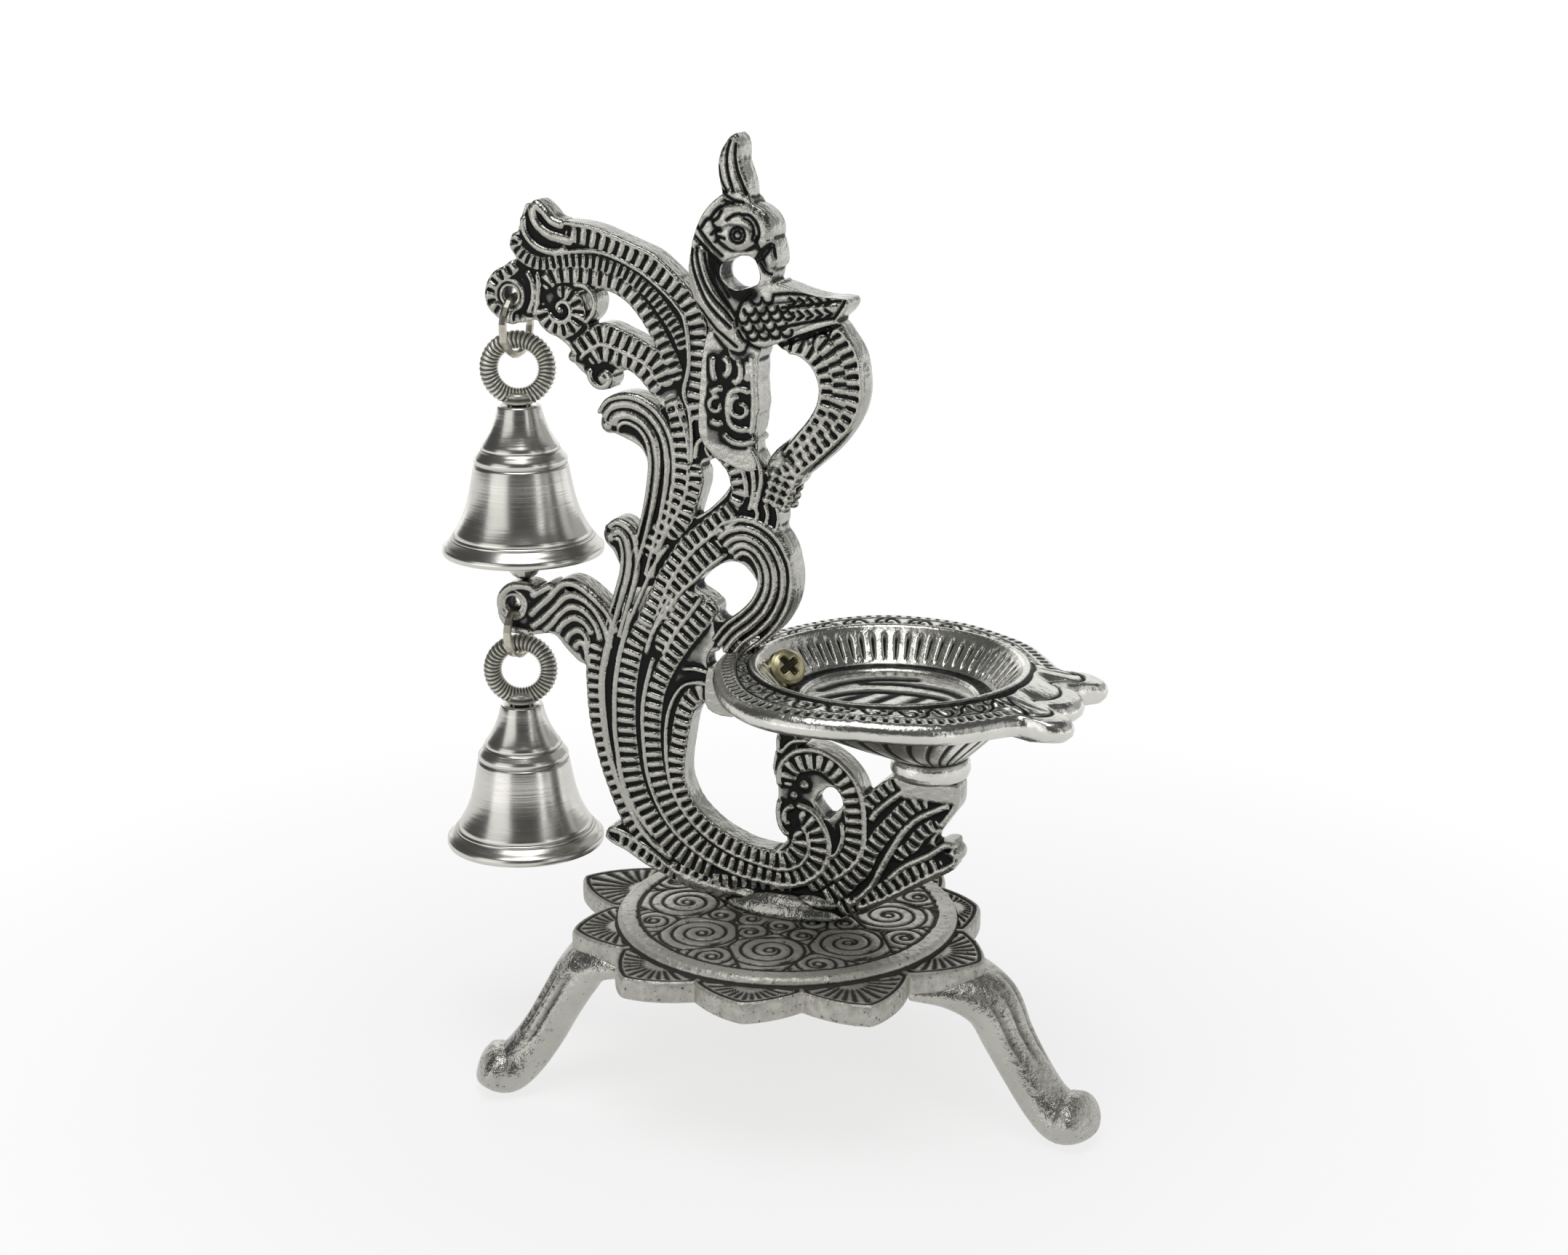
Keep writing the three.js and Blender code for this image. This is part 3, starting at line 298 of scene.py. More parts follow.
def slab(outline, depth, holes=(), soften=0.0, traced=5.4, drilled=()):
    """A plate of the traced outline, with traced openings and drilled holes, filled and given its depth."""
    sheet = bmesh.new()
    lines = [near_edge(outline, traced), *(near_edge(hole, traced, -1) for hole in holes), *drilled]
    for line in lines:
        loop = [sheet.verts.new((x, -depth / 2, z)) for x, z in line]
        for here, there in zip(loop, loop[1:] + loop[:1]):
            sheet.edges.new((here, there))
    filled = bmesh.ops.triangle_fill(sheet, use_beauty=True, edges=sheet.edges, normal=(0, -1, 0))["geom"]
    faces = [g for g in filled if isinstance(g, bmesh.types.BMFace)]
    bmesh.ops.solidify(sheet, geom=faces, thickness=depth)
    if soften:
        rims = [e for e in sheet.edges if e.is_manifold and e.calc_face_angle() > 1.2]
        bmesh.ops.bevel(sheet, geom=rims, affect="EDGES", offset=soften, segments=2, profile=0.5,
                        material=-1, clamp_overlap=True)
    low = min(v.co.y for v in sheet.verts)
    bmesh.ops.translate(sheet, verts=sheet.verts, vec=(0, -depth / 2 - low, 0))
    return sheet


def lump(centre, radii, rings=14):
    """A rounded boss."""
    sheet = bmesh.new()
    bmesh.ops.create_uvsphere(sheet, u_segments=2 * rings, v_segments=rings, radius=1)
    bmesh.ops.scale(sheet, verts=sheet.verts, vec=radii)
    bmesh.ops.translate(sheet, verts=sheet.verts, vec=centre)
    return sheet


def curl(centre, radius, turns, start, width, end_share=0.18):
    """Rows of a flat spiral from its open end into its eye."""
    rows = []
    for share in np.arange(15) / 14:
        angle = math.radians(start) + TURN * turns * share
        out = radius * (1 - (1 - end_share) * share)
        rows.append((centre[0] + out * math.cos(angle), centre[1] + out * math.sin(angle),
                     width * (1 - 0.35 * share)))
    return rows


def circle(centre, radius, count=18):
    return [(centre[0] + radius * math.cos(TURN * k / count),
             centre[1] + radius * math.sin(TURN * k / count)) for k in range(count)]


def hoop(centre):
    """The rounded collar round a ring's hole."""
    sheet, u, v = flat_grid(36, 12)
    turn, around = u * TURN, v * TURN
    out = COLLAR_RADIUS + COLLAR_THICK / 2 * np.cos(around)
    return shape_grid(sheet, np.stack([centre[0] + out * np.cos(turn), COLLAR_DEPTH / 2 * np.sin(around),
                                       centre[1] + out * np.sin(turn)], 1))


def beside(rows, distance):
    """The rows moved sideways, for ridges that run next to one another."""
    rows = np.array(rows, float)
    along = heading(rows)
    return [tuple(p) for p in rows + distance * np.stack([-along[:, 1], along[:, 0]], 1)]


def ridges(path, *rows):
    """Plain strands side by side along a path: each row is an offset, the widths and the added depth."""
    return [strand([(*p, w) for p, w in zip(beside(path, offset), widths)], None, BAND_DEPTH + more)
            for offset, widths, more in rows]


def neighbour_mean(edges, values):
    """Each vertex's mean over the vertices it shares an edge with."""
    count = len(values)
    ends = np.concatenate([edges[:, 0], edges[:, 1]])
    others = np.concatenate([edges[:, 1], edges[:, 0]])
    degree = np.bincount(ends, minlength=count)[:, None]
    total = np.stack([np.bincount(ends, weights=column[others], minlength=count) for column in values.T], 1)
    return total / np.maximum(degree, 1)


def read(items, name, width=3, kind=float):
    """One property of all of a mesh's vertices or edges, a row for each."""
    values = np.zeros(len(items) * width, kind)
    items.foreach_get(name, values)
    return values.reshape(-1, width)


def mark_grooves(mesh):
    """Relaxes the casting's skin, then writes how deep each vertex lies in a groove."""
    points = read(mesh.vertices, "co")
    edges = read(mesh.edges, "vertices", 2, int)
    for share in (0.5, -0.3, 0.5):
        points = points + share * (neighbour_mean(edges, points) - points)
    mesh.vertices.foreach_set("co", points.ravel())
    mesh.update()
    normals = read(mesh.vertex_normals, "vector")
    relaxed = points
    depth = np.zeros(len(points))
    for step in range(1, WIDE_STEPS + 1):
        relaxed = neighbour_mean(edges, relaxed)
        if step in (FINE_STEPS, WIDE_STEPS):
            gain = FINE_GAIN if step == FINE_STEPS else WIDE_GAIN
            depth += gain * np.einsum("ij,ij->i", relaxed - points, normals)
    depth += stem_ground(points, normals)
    depth = neighbour_mean(edges, depth[:, None])[:, 0] * 0.4 + depth * 0.6
    mark = mesh.attributes.new("groove", "FLOAT", "POINT")
    mark.data.foreach_set("value", np.clip(depth, *GROOVE_RANGE).astype(np.float32))


def placed(name, data):
    """A new object in the scene."""
    thing = bpy.data.objects.new(name, data)
    bpy.context.scene.collection.objects.link(thing)
    return thing


def finished(name, mesh, material, body):
    """The mesh as a piece of the lamp, in the row frame, riding on its body."""
    mesh.transform(Matrix.Translation((STEM_AXIS.x, STEM_AXIS.y, 0)) @ Matrix.Scale(MM, 4))
    mesh.shade_smooth()
    mesh.materials.append(material)
    piece = placed(name, mesh)
    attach(piece, body)
    return piece


def as_mesh(sheet):
    """The finished sheet as mesh data."""
    mesh = bpy.data.meshes.new("casting")
    sheet.to_mesh(mesh)
    sheet.free()
    return mesh


def joined(parts):
    """All the parts in one mesh."""
    whole = bmesh.new()
    carrier = bpy.data.meshes.new("carrier")
    for part in parts:
        part.to_mesh(carrier)
        part.free()
        whole.from_mesh(carrier)
    bpy.data.meshes.remove(carrier)
    return as_mesh(whole)


def cast(name, parts):
    """Runs the parts together into one skin, as the mould does."""
    rough = placed(name + "_pattern", joined(parts))
    skin = rough.modifiers.new("skin", "REMESH")
    skin.mode = "VOXEL"
    skin.voxel_size = CASTING_VOXEL
    skin.adaptivity = 0.0
    bpy.context.view_layer.update()
    mesh = bpy.data.meshes.new_from_object(rough.evaluated_get(bpy.context.evaluated_depsgraph_get()))
    bpy.data.objects.remove(rough)
    return mesh


def stem_ground(points, normals):
    """The web between the bands is dark, its sawn side walls aren't, and the column's ground is less so."""
    x, height, z = points[:, 0], np.abs(points[:, 1]), points[:, 2]
    low = np.clip((WEB_DEPTH / 2 + 0.25 - height) / 0.5, 0, 1)
    column = (x > COLUMN[0]) & (x < COLUMN[1]) & (z > COLUMN[2]) & (z < COLUMN[3])
    low = np.where(column, 0.7 * np.clip((COLUMN_GROUND - height) / 0.5, 0, 1), low)
    facing = np.clip((np.abs(normals[:, 1]) - 0.35) / 0.4, 0, 1)
    return 0.6 * low * facing


def line_groove(points, lines, half_width):
    """How near each point is to the nearest engraved line, from 0 to 1."""
    near = np.full(len(points), 9.0)
    for line in lines:
        path = smooth_line(line, 0.3)[0][:, :2]
        box_low, box_high = path.min(0) - 2, path.max(0) + 2
        inside = np.where(np.all((points > box_low) & (points < box_high), axis=1))[0]
        if len(inside):
            gap = points[inside, None, :] - path[None, :, :]
            near[inside] = np.minimum(near[inside], np.sqrt((gap ** 2).sum(2).min(1)))
    return np.exp(-(near / half_width) ** 2)


def engrave(mesh, lines, half_width, deep, dark):
    """Cuts lines into both faces of a casting and lets the oxide stay in them; at depth 0 it paints shade."""
    points = read(mesh.vertices, "co")
    marks = mesh.attributes["groove"].data
    facing = np.clip((np.abs(read(mesh.vertex_normals, "vector")[:, 1]) - 0.3) / 0.3, 0, 1)
    cut = line_groove(points[:, [0, 2]], lines, half_width) * facing
    points[:, 1] -= np.sign(points[:, 1]) * deep * cut
    mesh.vertices.foreach_set("co", points.ravel())
    marks.foreach_set("value", np.maximum(read(marks, "value", 1)[:, 0], cut * dark))
    mesh.update()


def between(mesh, low, high):
    """The part of a mesh between two upright planes, closed where they cut it."""
    sheet = bmesh.new()
    sheet.from_mesh(mesh)
    for x, side in ((low, -1), (high, 1)):
        if x is None:
            continue
        cut = bmesh.ops.bisect_plane(sheet, geom=sheet.verts[:] + sheet.edges[:] + sheet.faces[:],
                                     plane_co=(x, 0, 0), plane_no=(side, 0, 0),
                                     clear_outer=True)["geom_cut"]
        rims = [g for g in cut if isinstance(g, bmesh.types.BMEdge)]
        for edge in rims:
            edge.smooth = False
        bmesh.ops.holes_fill(sheet, edges=rims)
    return as_mesh(sheet)


def stem_piece(name, parts, cuts=(), lines=(), painted_shade=()):
    """Casts the parts, cuts the engraved lines, paints shade and gives the finish, in pieces that meet at the
    cuts.
    """
    mesh = cast(name, parts)
    mark_grooves(mesh)
    if lines:
        engrave(mesh, lines, half_width=0.3, deep=0.5, dark=1.1)
        # the second pass cuts nothing: it only paints shade along the painted shade lines
        engrave(mesh, painted_shade, half_width=1.5, deep=0.0, dark=0.9)
    ends = [None, *cuts, None]
    pieces = [between(mesh, low, high) for low, high in zip(ends, ends[1:])] if cuts else [mesh]
    return [finished(name + (f"_{k + 1}" if cuts else ""), piece, stem_finish, "stand")
            for k, piece in enumerate(pieces)]


RING_HOLE_UPPER = (-59.8, 163.2)
RING_HOLE_LOWER = (-61.4, 97.8)
RING_HOLE_RADIUS = 1.75
COLLAR_RADIUS = 3.1
COLLAR_THICK = 2.2
COLLAR_DEPTH = 5.6

# Upper arm of the casting: it bows over from the peacock's back to the hook that carries the upper bell,
# and the hook has a hole for the bell's ring.
arm_web = slab([(-54, 183), (-47, 179.2), (-38, 177.3), (-29, 173.9), (-22, 168.9), (-17, 160), (-15, 150),
                (-20, 142), (-26, 142.6), (-30, 147.8), (-34, 149.6), (-35.6, 146.4), (-39, 145.3),
                (-42.6, 147.6), (-45.6, 150.2), (-46.4, 153), (-50, 155.8), (-53.4, 158.4), (-58, 157.6),
                (-62.4, 159), (-64.4, 162.8), (-62.8, 166.6), (-58.6, 169.8), (-57.8, 173.6), (-57, 178)],
               WEB_DEPTH,
               [[(-41.6, 165.2), (-36.4, 164.7), (-30.9, 160.9), (-26.6, 154.6), (-30.9, 155.9),
                 (-38.7, 158.2), (-41.2, 162.1)]], drilled=[circle(RING_HOLE_UPPER, RING_HOLE_RADIUS)])
arm_parts = [arm_web, hoop(RING_HOLE_UPPER)]
arm_parts += [
    ribbed([(-47, 176.2, 1.6), (-42, 175.7), (-38, 174.8), (-34, 173.3), (-30, 171.5), (-26, 169),
            (-22, 166), (-19.6, 163), (-18, 159), (-17.7, 154), (-18, 149), (-18.8, 144), (-17.8, 140)],
           2.7),
    ribbed([(-57, 176), (-58.1, 173.5), (-56.5, 171.5), (-54, 170.2), (-51, 170), (-48, 170.6), (-44, 171),
            (-40, 170.7), (-36, 169.8), (-32, 168), (-28, 165), (-25, 161.5), (-22.5, 158), (-20.8, 154)],
           1.5, pitch=1.5),
    ribbed([(-52, 165), (-50.5, 167), (-48, 167.9), (-44, 168), (-40, 167.6), (-36, 166.8), (-33, 165),
            (-30, 162), (-27.5, 158.5), (-25.5, 155), (-24, 152), (-22.3, 148)], 2.3),
    ribbed([(-45.5, 152), (-44.5, 153), (-42.5, 154.5), (-40, 156.3), (-38, 156.6), (-36, 155.9),
            (-32, 154.3), (-29, 152.8), (-27, 151.3), (-25.5, 149), (-24.5, 146.5)], 3.0),
    ribbed([(-42, 150.6), (-40, 152.2), (-38, 152.4), (-35.5, 151.5), (-33, 151), (-30.5, 149.5),
            (-28.5, 147.5), (-26.5, 145)], 2.0),
    ribbed([(-57.8, 158.4), (-60.8, 158.9), (-63.6, 161), (-64.1, 163.8), (-62.6, 166.6), (-59.8, 168.2),
            (-57.6, 170)], 1.5),
    ribbed(curl((-48, 161), 4.7, 0.85, 165, 2.2, 0.72), 2.2, pitch=1.9),
]
arm_parts += [strand(rows, width, BAND_DEPTH + 0.2) for width, rows in (
    (0.95, [(-50, 171.8), (-46, 172.6), (-42, 173), (-38, 172.6), (-34, 171.3), (-30, 169.3), (-26, 166.4),
            (-23, 163.6), (-20.7, 160), (-20, 152), (-21.2, 146), (-20, 142), (-19.6, 137), (-19.7, 131)]),
    (1.0, [(-47.5, 178.4), (-43.4, 178), (-39.8, 177.3), (-36.4, 176.1), (-32.3, 174.6), (-28.1, 173),
           (-25.3, 171), (-22, 168.2)]),
    (2.6, [(-53.8, 182), (-53.6, 178.6), (-51.2, 176.2), (-48, 175.2), (-44.6, 174.6)]),
    (2.2, [(-54.2, 182.4), (-51.6, 180.4), (-49.6, 178.4), (-46.6, 177.6)]),
    (1.6, [(-56.2, 179.6), (-55.8, 176), (-53.4, 173.4), (-50, 172.4), (-46, 173.4)]),
    (1.2, [(-55.8, 168.6), (-54.4, 166), (-54.4, 162.6), (-55.8, 159.4)]),
    (1.0, [(-53.4, 168.6), (-53, 165.4), (-53.4, 162), (-54.4, 158.8)]),
    (1.3, [(-43.2, 158.2), (-41, 160.6), (-40.6, 163.6), (-42.4, 165.8), (-45.6, 166.2)]),
    (1.5, curl((-39, 148), 3.3, 0.9, 150, 1.5)),
    (1.0, [(-44.4, 150.8), (-42.6, 152.6), (-40, 154.2), (-37.6, 154.2), (-33, 152.6), (-29.4, 150.9),
           (-26.8, 147.6)]),
)]
arm_parts += [strand(curl((-48, 161), 3.1, 1.15, 190, 1.5), 1.5)]
arm_parts += [lump((-48.4, 0, 160.7), (1.15, 3.6, 1.15), 10), lump((-39, 0, 147.6), (2.1, 3.7, 2.0), 12),
              lump((-45.8, 0, 151.4), (1.7, 3.1, 1.7), 10)]
stem_arm = stem_piece("stem_arm", arm_parts)
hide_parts("peacock_stem")

# Peacock: round head with a crest and a beak bent to its breast, a scaled wing, the scrolled column
# below it, and the tail that loops out from behind the wing and back to the column.
head_outline = [(-12.2, 185.4), (-15.3, 182.9), (-17.2, 180.2), (-18.6, 176.6), (-19.3, 173.1),
                (-19.6, 169.6), (-19, 166.1), (-17.6, 163.1), (-14.5, 159.7), (-11.8, 156.4), (-10, 153),
                (-4, 153), (-1.7, 157.2), (-1.6, 165.9), (-0.1, 168.4), (0.6, 170.8), (0.9, 173),
                (0.6, 175.2), (-0.1, 177.8), (-1.3, 180.4), (-2.9, 183.4), (-4.7, 185.9), (-8.6, 186.6)]
head_hole = [(-7.4, 173.7), (-5.9, 173.3), (-5, 171.9), (-4.5, 170.2), (-4.7, 168.6), (-5.6, 167.9),
             (-7.3, 167.8), (-8.8, 168.5), (-10.1, 169.8), (-10.4, 171.4), (-9.8, 173), (-8.6, 173.6)]
head_parts = [
    strand([(-9.6, 181.5, 6), (-9.6, 184.6, 6.2), (-10, 187.4, 6.4), (-10.7, 190, 6), (-10.8, 192.2, 5.2),
            (-10.2, 194.4, 4), (-9.7, 197, 1.8)], 6, 6.6),
    slab(head_outline, 7.0, [head_hole], soften=1.3, traced=6.2),
    strand([(-14.6, 180.5, 4), (-8.8, 180.4, 8), (-4.6, 179.6, 6), (-2.6, 176, 3)], 8, 8.4),
    strand([(-13.6, 177.8, 4), (-9, 177.6, 6.4), (-4.6, 177, 4)], 8, 8.8),
    strand([(-5, 178.6, 3), (-3.2, 176.4, 3.6), (-2.2, 173.6, 3), (-1.8, 171, 1.8)], 3, 8.2),
    strand([(-16.9, 175.6, 4), (-17, 170.5, 5), (-15.6, 166, 6), (-12.9, 161.6, 6.4), (-9.6, 157.4, 6),
            (-8, 154.6, 5)], 5, 8.4),
]
# the shaft of the column swells out of the neck and is as deep as the neck
head_parts.append(slab([(-15.8, 158), (-11, 160), (-4, 158), (-1.7, 155), (-1.7, 150.6), (-1.4, 145.4),
                        (-2.5, 142.3), (-3.2, 138), (-2.2, 133.6), (-8, 131), (-17, 136), (-17.6, 146)],
                       6.6, soften=0.8, traced=8.4))
head_parts += [strand(rows, width, 7.8) for width, rows in (
    (1.95, [(-12.9, 153.6), (-11.4, 153), (-11.2, 151), (-12.6, 149.4)]),
    (1.95, [(-9.6, 153.4), (-8.6, 152), (-8.6, 150), (-9.6, 148.8), (-10.8, 149.6)]),
    (1.75, [(-7.2, 153.6), (-7, 151), (-7.4, 148.6)]), (1.65, [(-14.6, 154), (-14.6, 151), (-14, 148.4)]),
    (1.95, curl((-8.6, 143.6), 2.6, 1.2, 90, 1.5)), (1.75, curl((-13.8, 143.8), 2.0, 1.1, 60, 1.3)),
    (1.85, [(-6.2, 146.6), (-8, 147.4), (-10.6, 146.8), (-11.4, 144), (-11, 140.8), (-9.2, 139.4),
            (-6.4, 139.6)]),
    (1.75, [(-12, 147.4), (-13.6, 147.2), (-15.6, 146.2)]),
    (1.65, [(-12.2, 141), (-13.6, 140.2), (-15.6, 141)]),
    (1.65, [(-12.6, 138.6), (-10.6, 136.9), (-8, 136.6), (-5, 137.6)]),
    (1.75, [(-6.2, 154.6), (-6, 150), (-5.8, 145.6), (-6, 141), (-6.6, 138)]),
)]
wing_outline = [(-5.7, 165.8), (-4, 167.5), (-1.6, 168.8), (1.8, 169.6), (6.5, 168.3), (10.3, 167.5),
                (14.2, 167.4), (16.2, 167), (15.8, 165.2), (14.1, 163.5), (12.3, 161.9), (8.4, 160.6),
                (2.6, 158.5), (-1.2, 156.8), (-3.6, 156.1), (-6, 156.9), (-8.2, 158.6), (-8.9, 160.6),
                (-8.3, 163), (-7.2, 164.6)]
head_parts += [slab(wing_outline, 7.4, soften=0.9, traced=6.4),
               strand([(-5.4, 161, 6), (-1, 161.6, 7.6), (4, 163, 6), (9, 164.4, 4), (12, 165, 2.6)],
                      6, 8.6)]
head_lines = [
    [(-10.7, 195.5), (-11.3, 193.5), (-11.4, 190.9), (-10.9, 188.3), (-10, 185.9)],
    [(-13.3, 190.6), (-12.7, 187.8), (-11.4, 185.7)],
    [(-9.5, 194.9), (-9.7, 192.7), (-9.3, 190.1), (-8.3, 187.5), (-7.3, 185.3)],
    [(-12.6, 186), (-11.4, 185.1), (-9.6, 184.2), (-7.9, 183.9)], [(-11.9, 184.2), (-10.1, 183.6)],
    [(-8.2, 181.6), (-6.3, 181.5), (-4.8, 180), (-4.4, 178), (-5.4, 176.6)],
    [(-7.5, 180.9), (-6.1, 180.2), (-5.5, 178.7), (-5.8, 176.9)],
    [(-5.5, 172.8), (-4.3, 174.7), (-2, 176.3)], [(-5.1, 172.6), (-3.4, 173.8), (-1.8, 175.6)],
    [(-4.8, 173.4), (-3.4, 174.8), (-2.2, 175.9)], [(-1.5, 176.1), (-1, 173.8), (0.4, 172.9)],
    [(-4.3, 172.4), (-3, 170.7), (-0.6, 170.1)],
    [(-14.8, 180.7), (-13.8, 182.1), (-12.6, 183)], [(-14.1, 180.2), (-13, 181), (-12.4, 182.2)],
    [(-16.8, 178.8), (-15.7, 180.3), (-14.9, 180.6)], [(-14.6, 177.6), (-13.7, 178.4), (-12.5, 178.6)],
    [(-13.8, 176.2), (-12.9, 177.1), (-11.6, 176.9)], [(-11.1, 180.6), (-9.7, 181.5), (-8.4, 181.8)],
    [(-17.6, 179), (-16.3, 177.3), (-14.4, 175.1), (-12.4, 173.5)],
    [(-18.4, 177.3), (-17, 175.9), (-14.9, 173.8), (-12.6, 172)],
    [(-18.8, 174.5), (-18.5, 171.4), (-17.3, 168), (-15.5, 164.5), (-13, 161.8), (-10.5, 159.7)],
    [(-17.7, 174.9), (-17.2, 171.9), (-16.1, 168.4), (-14.2, 165.4), (-11.5, 162.7), (-10.1, 161)],
    [(-16, 173.9), (-15.6, 171.5), (-14.6, 168.8), (-12.8, 165.9), (-10.8, 163.4)],
    [(-14.4, 172.2), (-13.9, 170.3), (-12.7, 168.1), (-11, 165.6)],
    [(-18.3, 164), (-16.4, 162.2), (-13.8, 159.3), (-11.6, 157.7), (-9.2, 155.9)],
    [(-8.9, 159.1), (-7.4, 157), (-4.5, 155.7), (-1.2, 156.3), (4.6, 158.3), (9.3, 160), (12.3, 161.4)],
    [(-9.2, 160), (-9.4, 162), (-8.4, 164.6), (-6.4, 166.6)],
    [(-1.6, 166.5), (2, 166.9), (6.4, 166.8), (10.4, 166.8)],
    [(0.4, 164.1), (5, 164.8), (9.4, 165.6), (12.3, 166)],
    [(-0.2, 160.2), (4.6, 161.3), (8.9, 162.3), (11, 162.7)], [(11, 162.6), (12.6, 165), (13.6, 166.9)],
]
for radius in (0.8, 1.5):
    eye = circle((-8.8, 177.7), radius, 14)
    head_lines.append(eye + eye[:1])
# wing: small overlapping scales inside an oval, then barbs that meet at each quill
SCALE_RADIUS = 1.18
for row in range(5):
    for column in range(5):
        x, z = -8.4 + 2.4 * column + (row % 2) * 1.2 + 0.2 * row, 158.2 + 1.75 * row + 0.34 * column
        if math.hypot((x + 3.2) / 5.6, (z - 161.6) / 4.8) < 1:
            head_lines.append([(x + SCALE_RADIUS * math.cos(a), z + SCALE_RADIUS * math.sin(a))
                               for a in np.radians((-170, -125, -80, -35, 10))])
for k in range(6):
    x = 2.4 + 1.9 * k
    for low, high in ((161.8 + 0.19 * k, 163.4 + 0.22 * k), (164.3 + 0.19 * k, 166.0 + 0.09 * k)):
        middle = (low + high) / 2
        if x < 11.6 and high - low > 0.8:
            head_lines += [[(x - 0.6, low), (x + 0.6, middle)], [(x - 0.6, high), (x + 0.6, middle)]]
# painted shade: a wide dark band with no cut, left of and below the hole in the head
head_painted_shade = [[(-14.2, 172.4), (-12.4, 170), (-10.6, 167.6), (-8.6, 165.9), (-6, 166.4)]]
# tail loop: three ribbed bands side by side, running into scales where it rejoins the column
head_parts += [strand([(1, 157.6, 4.2), (8.6, 156.6, 7.6), (12.6, 151.6, 9), (12.4, 146, 9),
                       (9.4, 140.6, 8.6), (4.6, 135.8, 8.2), (0, 131.6, 8), (-1.4, 126.4, 5.6)],
                      8, WEB_DEPTH + 0.4)]
head_parts += [ribbed(rows, width) for width, rows in (
    (2.3, [(-1.4, 157.4), (1.5, 157.2), (3.5, 156.5), (6.5, 155), (8.7, 152), (9.2, 148), (8.5, 144.5),
           (6.5, 141), (4, 138), (1.4, 135)]),
    (2.4, [(5.4, 158.2), (8, 157.5), (10.5, 154.5), (11.8, 151), (12, 147), (10.8, 143.5), (8.5, 140.5),
           (5.5, 137), (2.5, 133.5), (0, 130.5)]),
    (2.4, [(8.8, 160.4), (11, 160), (13, 156.5), (14.5, 153), (15, 149.5), (14.5, 145.6), (13, 142.4),
           (10, 139), (6.4, 135.6), (3.4, 132.2), (1.4, 128.4)]),
)]
head_parts += [strand(rows, width, BAND_DEPTH) for width, rows in (
    (0.9, [(9.8, 160.8), (12.6, 159.6), (15.4, 155.6), (16.4, 150), (16, 145.6), (14.4, 141.9),
           (11.7, 138.8), (7.2, 134.4), (3.6, 131.2), (1.8, 127.6)]),
    (0.8, [(0.8, 155.3), (3.4, 155), (6.2, 153), (7.8, 149.6), (7.8, 146), (6.2, 142.4), (3, 138.4),
           (0, 134.8)]),
)]
for row in range(4):
    for column in range(3):
        x, z = 2 - 1.9 * column - 0.55 * row, 129.4 - 1.8 * row + 0.7 * column
        head_parts += [lump((x, y, z), (1.25, 0.95, 1.05), 8) for y in (2.2, -2.2)]
stem_piece("stem_peacock", head_parts, [-6], head_lines, head_painted_shade)

# Body of the casting: feather bands fall from the arm and the column, cross, and run down into the big
# sweep. Two long leaves and the big curl beside them are plain, with ridges along them.
body_parts = [slab(
    [(-36.4, 98), (-35.8, 106), (-37.4, 111), (-39.8, 114.2), (-38.6, 118), (-34.5, 118.4), (-31, 116.8),
     (-29.7, 122), (-29.3, 129), (-31, 133.6), (-36, 136), (-40, 137.6), (-37.8, 142.6), (-32.6, 143.7),
     (-27, 141.4), (-25, 146), (-18, 154), (-8, 154), (-3.4, 148), (-3.4, 137.6), (-2.6, 133), (1.4, 130.4),
     (1, 124), (2.6, 117), (2.2, 107), (-0.8, 101), (-4.5, 97), (-11, 96.4), (-13.4, 93), (-25, 91)],
    WEB_DEPTH - 0.4,
    [[(-14.6, 133), (-11.5, 131.2), (-10.7, 129), (-13.4, 124.9), (-17.6, 121.4), (-17.3, 125.2),
      (-15.9, 131.6)],
     [(-16.9, 107.6), (-13.4, 111.2), (-9, 111.6), (-5.5, 107.6), (-5.9, 103.6), (-9.2, 101),
      (-11.8, 101.4), (-13.2, 105)]])]
body_parts += [ribbed(rows, width) for width, rows in (
    (2.9, [(-24.5, 145.5), (-23.3, 142.5), (-22.3, 139), (-21.7, 135), (-21.8, 131), (-22.2, 128),
           (-22.9, 125), (-23.8, 122.5), (-25, 120), (-26.5, 117.5), (-28, 114.5), (-29.6, 110.6)]),
    (2.5, [(-19, 131.6), (-19, 128), (-19.5, 126), (-20.5, 123), (-21.5, 120), (-23, 118), (-25.5, 115.5)]),
    (2.0, [(-17, 134), (-14.5, 134.8), (-12, 132.8), (-10.5, 130.8), (-9.8, 128.5), (-9.5, 126.5),
           (-10, 124.8), (-11.2, 123)]),
    (2.8, [(-9.8, 123.8), (-12.5, 121.5), (-15, 119.5), (-17.5, 117.3), (-20, 115.3), (-22, 113),
           (-24, 110), (-25.8, 107.2), (-27.2, 104.2), (-28.8, 101), (-30.3, 98), (-31.5, 95)]),
    (2.8, [(-13.6, 115.8), (-15.5, 113.8), (-17.5, 112), (-20, 109.5), (-22, 107), (-24.3, 104),
           (-25.9, 100.4), (-26.8, 97)]),
)]
